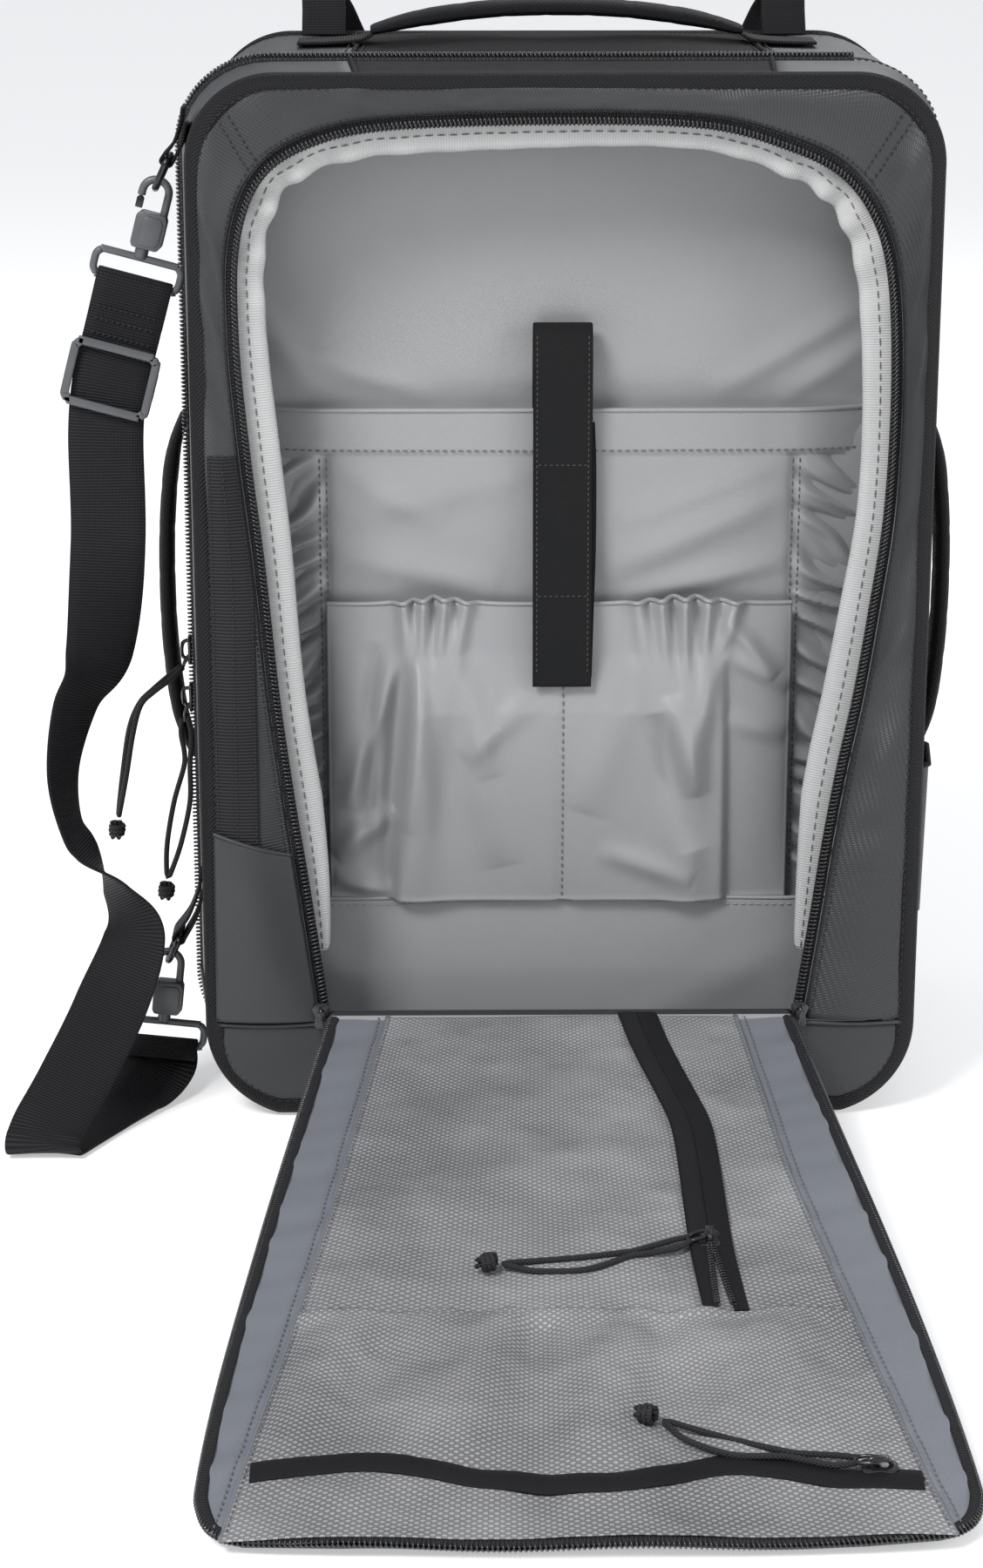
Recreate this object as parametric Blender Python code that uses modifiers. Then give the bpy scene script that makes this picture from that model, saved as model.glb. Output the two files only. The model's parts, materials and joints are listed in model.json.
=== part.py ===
"""Travel backpack, standing open: front organiser unzipped, its flap folded down on the floor.

Metres, +Z up, +X to the right, -Y to the front. The origin is the middle of the base, on the floor.
The bag is two boxes of fabric wall joined down the right edge: a shallow front organiser section
and a deeper rear section that carries the harness. The front flap is drawn shut, in the plane of
the front panel, and is then turned down about its fold.
"""
import math

import bmesh
import bpy
from mathutils import Matrix, Vector

# Driving sizes
HALF_WIDTH = 0.181
HEIGHT = 0.532
FRONT = -0.110
BACK = 0.110
SEAM = -0.025               # the zip plane between the front and the rear section
BULGE = 1.050               # how much wider the walls are at the seam than at the front panel
BACK_BULGE = 1.012
TOP_RADIUS = 0.042
BOTTOM_RADIUS = 0.050
BOOT_HEIGHT = 0.052
WALL = 0.004
GAP = 0.0004
BINDING = 0.0035            # radius of the bound edge
PANEL = 0.003               # thickness of the front panel

# The U-shaped front opening, and the flap that fills it
HINGE_Z = 0.053
OPENING_TOP = 0.5115
OPENING_FOOT = 0.119        # half width at the fold
OPENING_WIDE = 0.161        # half width where the sides turn upright
OPENING_WIDE_Z = 0.385
OPENING_HEAD = 0.158
OPENING_RADIUS = 0.052
COIL = 0.002                # radius of the front zip's coil
COIL_OFFSET = 0.0022        # coil centre from the line where the two halves meet
COIL_EDGE = 0.0046          # fabric edge from the same line
FLAP_Y = FRONT + PANEL / 2
FLAP_LENGTH = OPENING_TOP - HINGE_Z
FLAP_TILT = math.asin((HINGE_Z - COIL - 0.0002) / (FLAP_LENGTH - COIL_OFFSET))
FLAP_OPEN = math.pi / 2 + FLAP_TILT

# Inside the organiser, from back to front
DIVIDER = (-0.0400, -0.0290)
SLEEVE = (-0.0520, -0.0490)
POCKET = (-0.0592, -0.0524)
SLEEVE_TOP = 0.360
POCKET_TOP = 0.262
POCKET_BAND = 0.101
POCKET_HALF = 0.121
TAB_HALF = 0.0152
TAB_FOLD = (-0.0500, 0.4010)

# Webbing and hardware
SLING_WIDTH = 0.038
SLING_THICK = 0.0018
SLING_Y = -0.070
DRING_WIRE = 0.00175
CORD = 0.0028
KNOT = 0.0052
HOOK_RADIUS = 0.0065
LOOP_HALF = 0.0216
LOOP_LOW = -0.0460
LOOP_HIGH = -0.0330
RING_LEAN = math.radians(25.0)
UPPER_HOOK = (-0.1998, 0.4717)
LOWER_HOOK = (-0.2045, 0.0692)
UPPER_TILT = math.radians(15.0)
LOWER_TILT = math.radians(6.0)
GLIDE_PLACE = (-0.2244, -0.0735, 0.3806)
SIDE_SLIDER_Z = (0.2275, 0.2014)
TOP_HANDLE_Y = 0.050
SIDE_HANDLE_Y = 0.030

SCENE_NAME = "travel_backpack"


def clear_scene():
    for old in list(bpy.data.objects):
        bpy.data.objects.remove(old, do_unlink=True)


def new_collection(name):
    group = bpy.data.collections.new(name)
    bpy.context.scene.collection.children.link(group)
    return group


def finish_of(name, colour, roughness, metallic=0.0):
    """A Principled material, made once for each finish."""
    if name in bpy.data.materials:
        return bpy.data.materials[name]
    made = bpy.data.materials.new(name)
    made.use_nodes = True
    shader = made.node_tree.nodes["Principled BSDF"]
    shader.inputs["Base Color"].default_value = (*colour, 1.0)
    shader.inputs["Roughness"].default_value = roughness
    shader.inputs["Metallic"].default_value = metallic
    return made


clear_scene()
PARTS = new_collection(SCENE_NAME)
CUTTERS = new_collection("cutters")

COATED = finish_of("coated_twill", (0.075, 0.080, 0.084), 0.55)
TWILL = finish_of("black_twill", (0.018, 0.018, 0.020), 0.85)
WEBBING = finish_of("black_webbing", (0.014, 0.014, 0.016), 0.80)
LINING = finish_of("grey_lining", (0.330, 0.330, 0.340), 0.55)
TAPE = finish_of("light_tape", (0.500, 0.500, 0.500), 0.80)
MESH = finish_of("grey_mesh", (0.280, 0.280, 0.285), 0.70)
COIL_NYLON = finish_of("zip_coil", (0.020, 0.020, 0.022), 0.35)
HARDWARE = finish_of("grey_plastic", (0.160, 0.165, 0.175), 0.35)
DARK_METAL = finish_of("dark_metal", (0.060, 0.060, 0.065), 0.30, 1.0)
FOAM = finish_of("black_foam", (0.025, 0.025, 0.027), 0.90)
BOARD = finish_of("white_board", (0.600, 0.600, 0.600), 0.50)
STAY = finish_of("bare_aluminium", (0.700, 0.700, 0.710), 0.35, 1.0)
CORDAGE = finish_of("cord_sheath", (0.060, 0.060, 0.065), 0.75)


# ---------------------------------------------------------------- shape tools

def named(obj, name, material):
    obj.name = name
    obj.data.name = name
    obj.data.materials.clear()
    obj.data.materials.append(material)
    for group in list(obj.users_collection):
        group.objects.unlink(obj)
    PARTS.objects.link(obj)
    return obj


def as_mesh(obj):
    """A mesh copy of a curve object or of an object with modifiers, with its caps welded."""
    bpy.context.view_layer.update()
    graph = bpy.context.evaluated_depsgraph_get()
    data = bpy.data.meshes.new_from_object(obj.evaluated_get(graph))
    work = bmesh.new()
    work.from_mesh(data)
    bmesh.ops.remove_doubles(work, verts=work.verts, dist=0.00001)
    work.to_mesh(data)
    work.free()
    made = bpy.data.objects.new(obj.name + "_mesh", data)
    bpy.context.scene.collection.objects.link(made)
    made.matrix_world = obj.matrix_world.copy()
    bpy.data.objects.remove(obj, do_unlink=True)
    return made


def settle(obj):
    """Put an object's place into its mesh."""
    obj.data.transform(obj.matrix_world)
    obj.matrix_world = Matrix.Identity(4)
    return obj


def rounded(corners, radii, steps=5):
    """A closed outline through corner points, each turned by its own radius."""
    outline = []
    count = len(corners)
    for index, (corner, radius) in enumerate(zip(corners, radii)):
        here = Vector(corner)
        before = (Vector(corners[index - 1]) - here).normalized()
        after = (Vector(corners[(index + 1) % count]) - here).normalized()
        if radius == 0.0:
            outline.append(tuple(here))
            continue
        half = before.angle(after) / 2
        reach = radius / math.tan(half)
        centre = here + (before + after).normalized() * (radius / math.sin(half))
        start = here + before * reach - centre
        turn = start.angle_signed(here + after * reach - centre)
        for step in range(steps + 1):
            angle = -turn * step / steps
            spun = Matrix.Rotation(angle, 2) @ start
            outline.append(tuple(centre + spun))
    return outline


def bag_outline(inset, steps=5):
    """The bag's front outline, moved inwards."""
    half = HALF_WIDTH - inset
    corners = [(-half, inset), (half, inset), (half, HEIGHT - inset), (-half, HEIGHT - inset)]
    low, high = BOTTOM_RADIUS - inset, TOP_RADIUS - inset
    return rounded(corners, [low, low, high, high], steps)


def opening_corners(inset, foot):
    return [
        (-OPENING_FOOT + inset, foot),
        (-OPENING_WIDE + inset, OPENING_WIDE_Z),
        (-OPENING_HEAD + inset, OPENING_TOP - inset),
        (OPENING_HEAD - inset, OPENING_TOP - inset),
        (OPENING_WIDE - inset, OPENING_WIDE_Z),
        (OPENING_FOOT - inset, foot),
    ]


def opening_outline(inset, foot, steps=6):
    """The opening's outline from its left foot over the top to its right foot."""
    head = OPENING_RADIUS - inset
    return rounded(opening_corners(inset, foot), [0.0, 0.3, head, head, 0.3, 0.0], steps)


def plate(name, loops, front, back, material):
    """A flat outline in the XZ plane, with holes, between two Y places."""
    curve = bpy.data.curves.new(name, "CURVE")
    curve.dimensions = "2D"
    curve.fill_mode = "BOTH"
    curve.extrude = (back - front) / 2
    for loop in loops:
        spline = curve.splines.new("POLY")
        spline.points.add(len(loop) - 1)
        for point, (x, z) in zip(spline.points, loop):
            point.co = (x, z, 0.0, 1.0)
        spline.use_cyclic_u = True
    drawn = bpy.data.objects.new(name, curve)
    bpy.context.scene.collection.objects.link(drawn)
    drawn.matrix_world = Matrix.Translation((0, (front + back) / 2, 0)) @ Matrix.Rotation(math.pi / 2, 4, "X")
    return named(settle(as_mesh(drawn)), name, material)


def widen(obj, front, back, front_scale, back_scale):
    """Scale a plate in X by an amount that changes evenly from its front to its back."""
    for vertex in obj.data.vertices:
        share = (vertex.co.y - front) / (back - front)
        vertex.co.x *= front_scale + share * (back_scale - front_scale)
    return obj


def block(name, low, high, material, bevel=0.0):
    """A box between two corners, with its edges eased."""
    size = [b - a for a, b in zip(low, high)]
    middle = [(a + b) / 2 for a, b in zip(low, high)]
    bpy.ops.mesh.primitive_cube_add(size=1.0)
    made = bpy.context.object
    made.data.transform(Matrix.Diagonal((*size, 1.0)))
    made.data.transform(Matrix.Translation(middle))
    if bevel:
        ease = made.modifiers.new("ease", "BEVEL")
        ease.width = bevel
        ease.segments = 1
        ease.limit_method = "ANGLE"
        made = as_mesh(made)
    return named(made, name, material)


def rod(name, points, radius, material, closed=False, sides=1):
    """A round bar along a list of points."""
    curve = bpy.data.curves.new(name, "CURVE")
    curve.dimensions = "3D"
    curve.bevel_depth = radius
    curve.bevel_resolution = sides
    curve.use_fill_caps = True
    spline = curve.splines.new("POLY")
    spline.points.add(len(points) - 1)
    for place, point in zip(spline.points, points):
        place.co = (*point, 1.0)
    spline.use_cyclic_u = closed
    drawn = bpy.data.objects.new(name, curve)
    bpy.context.scene.collection.objects.link(drawn)
    return named(drawn, name, material)


def smooth_through(points, count):
    """Points along a smooth curve through the given ones, evenly spaced by parameter."""
    spans = len(points) - 1
    made = []
    for step in range(count):
        along = step / (count - 1) * spans
        span = min(int(along), spans - 1)
        share = along - span
        before = Vector(points[max(span - 1, 0)])
        start = Vector(points[span])
        end = Vector(points[span + 1])
        after = Vector(points[min(span + 2, spans)])
        pull_in = (end - before) / 2
        pull_out = (after - start) / 2
        square, cube = share ** 2, share ** 3
        made.append(
            start * (2 * cube - 3 * square + 1) + pull_in * (cube - 2 * square + share)
            + end * (3 * square - 2 * cube) + pull_out * (cube - square)
        )
    return made


def strap(name, route, across, width, thick, material, count):
    """A flat band lofted along a route; across gives the width direction at each route point."""
    centres = smooth_through(route, count)
    widths = smooth_through(across, count)
    work = bmesh.new()
    rings = []
    for index, (centre, wide) in enumerate(zip(centres, widths)):
        ahead = centres[min(index + 1, count - 1)] - centres[max(index - 1, 0)]
        side = (wide - ahead * (wide.dot(ahead) / ahead.length_squared)).normalized() * (width / 2)
        lift = side.cross(ahead).normalized() * (thick / 2)
        corners = (side + lift, -side + lift, -side - lift, side - lift)
        rings.append([work.verts.new(centre + corner) for corner in corners])
    for ring, following in zip(rings, rings[1:]):
        for edge in range(4):
            other = (edge + 1) % 4
            work.faces.new((ring[edge], ring[other], following[other], following[edge]))
    work.faces.new(rings[0][::-1])
    work.faces.new(rings[-1])
    bmesh.ops.recalc_face_normals(work, faces=work.faces)
    data = bpy.data.meshes.new(name)
    work.to_mesh(data)
    work.free()
    made = bpy.data.objects.new(name, data)
    bpy.context.scene.collection.objects.link(made)
    return named(made, name, material)


def combine(name, base, others, material, operation="UNION"):
    """Join pieces into one solid, or cut them out of it."""
    for other in others:
        CUTTERS.objects.link(other)
        change = base.modifiers.new("change", "BOOLEAN")
        change.operation = operation
        change.object = other
    made = as_mesh(base)
    for other in others:
        bpy.data.objects.remove(other, do_unlink=True)
    return named(made, name, material)


def solid(obj):
    """A curve rod as a mesh, ready for a Boolean."""
    name = obj.name
    made = as_mesh(obj)
    made.name = name
    return made


def pivot(name, place):
    """An empty on a joint's axis."""
    made = bpy.data.objects.new(name, None)
    made.empty_display_size = 0.02
    PARTS.objects.link(made)
    made.location = place
    return made


def hang(pieces, empty):
    """Parent pieces to an empty, keeping their drawn places."""
    bpy.context.view_layer.update()
    for piece in pieces:
        piece.parent = empty
        piece.matrix_parent_inverse = empty.matrix_world.inverted()


# ---------------------------------------------------------------- front section

def front_shell():
    """Front panel, gusset, boot and bound edge of the organiser section."""
    edge = 2 * BINDING + GAP
    hole = opening_outline(-COIL_EDGE, HINGE_Z - 0.0025)
    plate("front_panel", [bag_outline(edge), hole], FRONT, FRONT + PANEL, COATED)
    ring = [(x, FRONT + BINDING, z) for x, z in bag_outline(BINDING)]
    rod("front_binding", ring, BINDING, TWILL, closed=True)
    gusset_and_boot("front", FRONT + 2 * BINDING + GAP, SEAM - 0.0036, 1.0, BULGE)


def band(low, high, radius, inset, upwards):
    """Half of a bag band: an arch standing on low, or a boot hanging from high."""
    half = HALF_WIDTH - inset
    if upwards:
        corners = [(half, low), (half, high), (-half, high), (-half, low)]
        return rounded(corners, [0.0, radius, radius, 0.0])
    corners = [(-half, high), (-half, low), (half, low), (half, high)]
    return rounded(corners, [0.0, radius, radius, 0.0])


def gusset_and_boot(side, front, back, front_scale, back_scale):
    """The side and top wall as one arch, and the coated boot under it."""
    arch = band(BOOT_HEIGHT, HEIGHT, TOP_RADIUS, 0.0, True)
    arch += band(BOOT_HEIGHT, HEIGHT - WALL, TOP_RADIUS - WALL, WALL, True)[::-1]
    gusset = plate(side + "_gusset", [arch], front, back, TWILL)
    widen(gusset, front, back, front_scale, back_scale)
    top = BOOT_HEIGHT - GAP
    cup = band(0.0, top, BOTTOM_RADIUS, 0.0, False)
    cup += band(WALL, top, BOTTOM_RADIUS - WALL, WALL, False)[::-1]
    boot = plate(side + "_boot", [cup], front, back, COATED)
    widen(boot, front, back, front_scale, back_scale)


def clamshell_coil(name, y):
    """One coil of the side zip: along the base, up the left wall and across the top."""
    inset = WALL / 2
    half = HALF_WIDTH - inset
    corners = [(half - 0.02, inset), (-half, inset), (-half, HEIGHT - inset), (half - 0.02, HEIGHT - inset)]
    low, high = BOTTOM_RADIUS - inset, TOP_RADIUS - inset
    path = rounded(corners, [0.0, low, high, 0.0], 6)
    rod(name, [(x * BULGE, y, z) for x, z in path], 0.0015, COIL_NYLON)


def organiser():
    """Padded divider, document sleeve, pleated pocket and the closure tab over them."""
    plate("divider_panel", [bag_outline(WALL + GAP)], *DIVIDER, LINING)
    half = HALF_WIDTH - WALL - 0.004
    foot = 0.0065
    outline = rounded(
        [(-half, foot), (half, foot), (half, SLEEVE_TOP), (-half, SLEEVE_TOP)],
        [BOTTOM_RADIUS, BOTTOM_RADIUS, 0.004, 0.004],
    )
    plate("document_sleeve", [outline], *SLEEVE, LINING)
    pocket = block("pocket", (-POCKET_HALF, POCKET[0], foot), (POCKET_HALF, POCKET[1], POCKET_TOP), LINING)
    cutters = [
        block("space", (low, POCKET[0] + 0.002, POCKET_BAND),
              (low + POCKET_HALF - 0.003, POCKET[1] + 0.01, 0.3), LINING)
        for low in (-POCKET_HALF + 0.002, 0.001)
    ]
    combine("organiser_pocket", pocket, cutters, LINING, "DIFFERENCE")
    route = [
        (0.001, TAB_FOLD[0] + 0.0055, TAB_FOLD[1] - 0.0005),
        (0.001, TAB_FOLD[0], TAB_FOLD[1] + 0.0025),
        (0.001, TAB_FOLD[0] - 0.0070, TAB_FOLD[1] - 0.0005),
        (0.001, TAB_FOLD[0] - 0.0114, TAB_FOLD[1] - 0.0100),
        (0.001, TAB_FOLD[0] - 0.0116, TAB_FOLD[1] - 0.0900),
        (0.001, TAB_FOLD[0] - 0.0116, TAB_FOLD[1] - 0.1820),
    ]
    tab = strap("closure_tab", route, [(1, 0, 0)] * 6, 2 * TAB_HALF, 0.0024, WEBBING, 16)
    hang([tab], pivot("closure_tab_axis", (0.001, *TAB_FOLD)))


def front_zip():
    """Body half of the front zip: its coil, the light facing tape inside it and two sliders."""
    line = opening_outline(-COIL_OFFSET, HINGE_Z)
    rod("front_zip_coil", [(x, FLAP_Y, z) for x, z in line], COIL, COIL_NYLON)
    outer = opening_outline(0.0005, HINGE_Z + 0.002)
    inner = opening_outline(0.0170, HINGE_Z + 0.030)
    plate("front_zip_facing", [outer + inner[::-1]], FRONT + 0.0086, FRONT + 0.0096, TAPE)
    rise = math.atan2(OPENING_WIDE - OPENING_FOOT, OPENING_WIDE_Z - HINGE_Z)
    for side, sign in (("left", -1), ("right", 1)):
        wing = block("wing", (-0.0045, -0.0036, -0.007), (0.0045, -0.0005, 0.007), HARDWARE, 0.0008)
        puller = block("puller", (-0.0025, -0.0056, -0.018), (0.0025, -0.0034, 0.003), HARDWARE, 0.0006)
        slider = combine("front_slider_" + side, wing, [puller], DARK_METAL)
        start = HINGE_Z + 0.010
        x = OPENING_FOOT + (start - HINGE_Z) * math.tan(rise) + 0.0048
        place = Matrix.Translation((sign * x, FRONT, start)) @ Matrix.Rotation(sign * rise, 4, "Y")
        slider.data.transform(place)
        hang([slider], pivot("front_slider_%s_axis" % side, (sign * x, FRONT, start)))


# ---------------------------------------------------------------- flap

def pull_cord(name, route):
    """A doubled zip pull: out along one leg, round at the knot and back along the other."""
    length = sum((Vector(b) - Vector(a)).length for a, b in zip(route, route[1:]))
    count = min(80, max(24, int(length / (2.6 * CORD))))
    return rod(name, smooth_through(route, count), CORD / 2, CORDAGE, sides=2)


def knot(name, centre):
    """The overhand knot that ends a pull."""
    bpy.ops.mesh.primitive_ico_sphere_add(subdivisions=2, radius=KNOT, location=centre)
    return named(settle(bpy.context.object), name, CORDAGE)


def doubled(legs_through, aside, spread):
    """A route that follows the given middle line out on one side and back on the other."""
    aside = Vector(aside).normalized()
    out, back = [], []
    last = len(legs_through) - 1
    for index, (point, wide) in enumerate(zip(legs_through, spread)):
        if index == last:
            continue
        out.append(Vector(point) + aside * wide)
        back.append(Vector(point) - aside * wide)
    return out + [Vector(legs_through[last])] + back[::-1]


def flap():
    """Flap shell, its coil, two mesh pockets with their zips, sliders and cord pulls."""
    shell_outline = opening_outline(COIL_EDGE, HINGE_Z + 0.0022)
    shell = plate("flap_shell", [shell_outline], FRONT, FRONT + PANEL - 0.0002, COATED)
    line = opening_outline(COIL_OFFSET, HINGE_Z + 0.004)
    coil = rod("flap_zip_coil", [(x, FLAP_Y, z) for x, z in line], COIL, COIL_NYLON)

    skin = FRONT + PANEL + GAP
    upper_top, lower_top = skin + 0.0030, skin + 0.0050
    seam, far = HINGE_Z + 0.290, HINGE_Z + FLAP_LENGTH - 0.020
    near = HINGE_Z + 0.012
    upper = [(-0.0980, near), (0.0980, near), (0.1290, seam), (-0.1290, seam)]
    slot = [(0.0300, near + 0.006), (0.0520, near + 0.006), (0.0750, seam - 0.004), (0.0545, seam - 0.004)]
    upper_mesh = plate("mesh_pocket_upper", [rounded(upper, [0.004] * 4, 2), slot], skin, upper_top, MESH)
    inside = [(0.0304, near + 0.0064), (0.0516, near + 0.0064),
              (0.0746, seam - 0.0044), (0.0549, seam - 0.0044)]
    upright = plate("mesh_zip_vertical", [inside], skin, upper_top - 0.0006, COIL_NYLON)
    lower = [(-0.1300, seam + GAP), (0.1300, seam + GAP), (0.1380, far), (-0.1380, far)]
    zip_low, zip_high = HINGE_Z + 0.4000, HINGE_Z + 0.4180
    wide = 0.1300
    slot = [(-wide, zip_low), (wide, zip_low), (wide, zip_high), (-wide, zip_high)]
    lower_mesh = plate("mesh_pocket_lower", [rounded(lower, [0.004] * 4, 2), slot], skin, lower_top, MESH)
    low, high, half = zip_low + GAP, zip_high - GAP, wide - GAP
    across = plate("mesh_zip_horizontal", [[(-half, low), (half, low), (half, high), (-half, high)]],
                   skin, lower_top - 0.0006, COIL_NYLON)

    fold = pivot("flap_fold_axis", (0, FLAP_Y, HINGE_Z))
    hang([shell, coil, upper_mesh, upright, lower_mesh, across], fold)

    sliders = (
        ("vertical", (0.0612, upper_top + 0.0002, HINGE_Z + 0.2277), (-0.0400, HINGE_Z + 0.2530), 4.9),
        ("horizontal", (0.1180, lower_top + 0.0002, HINGE_Z + 0.4090), (0.0248, HINGE_Z + 0.3756), 90.0),
    )
    for side, place, end, turn in sliders:
        body = block("body", (-0.0045, 0, -0.0065), (0.0045, 0.0032, 0.0065), DARK_METAL, 0.0007)
        body.data.transform(Matrix.Translation(place) @ Matrix.Rotation(math.radians(turn), 4, "Y"))
        slider = named(body, "mesh_slider_" + side, DARK_METAL)
        along = Vector((end[0] - place[0], 0, end[1] - place[2]))
        reach = along.length
        along.normalize()
        aside = Vector((along.z, 0, -along.x))
        lift = place[1] + CORD / 2 + 0.0002
        start = Vector((place[0], lift, place[2])) + along * 0.0095
        shares = (0.0, 0.10, 0.28, 0.36, 0.60, 0.84, 0.955, 1.0)
        bows = (0.0, 0.0030, 0.0050, 0.0055, 0.0080, 0.0050, 0.0010, 0.0)
        run = reach - 0.0095 - KNOT - CORD / 2 - 0.0006
        middle = [start + along * run * share + aside * bow for share, bow in zip(shares, bows)]
        spread = (0.0018, 0.0036, 0.0020, 0.0019, 0.0052, 0.0044, 0.0019, 0.0)
        cord = pull_cord("mesh_pull_" + side, doubled(middle, aside, spread))
        tip = knot("mesh_pull_knot_" + side, start + along * (run + CORD / 2 + KNOT + 0.0004)
                   + Vector((0, KNOT - CORD / 2, 0)))
        axis = pivot("mesh_slider_%s_axis" % side, place)
        hang([slider, cord, tip], axis)
        hang([axis], fold)
    fold.rotation_euler.x = FLAP_OPEN


# ---------------------------------------------------------------- sling strap and its hardware

def ring_tab(name, bar, wall_x, wall_rise, width):
    """A webbing tab that wraps a D-ring's bar; both ends go up to the side seam."""
    x, y, z = bar
    around = DRING_WIRE + 0.0012
    route = [
        (wall_x - 0.0030, y, z + wall_rise),
        (x - 0.6 * around, y, z + 0.55 * wall_rise),
        (x - around, y, z + 0.0020),
        (x - 0.75 * around, y, z - 0.75 * around),
        (x, y, z - around),
        (x + 0.75 * around, y, z - 0.75 * around),
        (x + around, y, z + 0.0020),
        (x + 0.9 * around, y, z + 0.5 * wall_rise),
        (wall_x - 0.0012, y, z + wall_rise),
    ]
    return strap(name, route, [(0, 1, 0)] * 9, width, 0.0013, WEBBING, 26)


def d_ring(name, bar, lean):
    """A welded wire ring with one straight side on the bar's axis, leaning out from the wall."""
    half, drop = 0.0125, 0.0160
    points = [(-half, 0.0), (-half, -0.0040)]
    for step in range(1, 8):
        angle = math.pi * step / 8
        points.append((-half * math.cos(angle), -0.0040 - (drop - 0.0040) * math.sin(angle)))
    points += [(half, -0.0040), (half, 0.0)]
    x, y, z = bar
    ring = [(x + b * math.sin(lean), y + a, z + b * math.cos(lean)) for a, b in points]
    made = rod(name, ring, DRING_WIRE, DARK_METAL, closed=True)
    hang([made], pivot(name + "_axis", bar))
    return made


def strap_hook(side, centre, tilt):
    """A moulded snap hook with a swivelling webbing loop, and its sprung gate."""
    place = Matrix.Translation(centre) @ Matrix.Rotation(tilt, 4, "Y")
    bend = [(HOOK_RADIUS, 0, -0.0130), (HOOK_RADIUS, 0, -0.0050)]
    bend += [(HOOK_RADIUS * math.cos(math.pi * step / 8), 0, HOOK_RADIUS * math.sin(math.pi * step / 8))
             for step in range(9)]
    bend.append((-HOOK_RADIUS, 0, -0.0025))
    bight = solid(rod("bight", bend, 0.0020, HARDWARE))
    grip = block("grip", (-0.0066, -0.0045, -0.0280), (0.0092, 0.0045, -0.0096), HARDWARE, 0.0015)
    stem = block("stem", (-0.0026, -0.0026, -0.0318), (0.0026, 0.0026, -0.0275), HARDWARE)
    half = LOOP_HALF
    corners = [(-half, LOOP_LOW), (half, LOOP_LOW), (half, LOOP_HIGH), (-half, LOOP_HIGH)]
    outline = rounded(corners, [0.004] * 4, 2)
    frame = solid(rod("loop", [(x, 0, z) for x, z in outline], 0.0019, HARDWARE, closed=True))
    hook = combine("sling_hook_" + side, grip, [bight, stem, frame], HARDWARE)
    hook.data.transform(place)
    gate = block("sling_gate_" + side, (-0.0083, -0.0018, -0.0088), (-0.0047, 0.0018, -0.0029), DARK_METAL)
    gate.data.transform(place)
    axis = pivot("sling_gate_%s_axis" % side, place @ Vector((-0.0065, 0, -0.0072)))
    hang([gate], axis)


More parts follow.
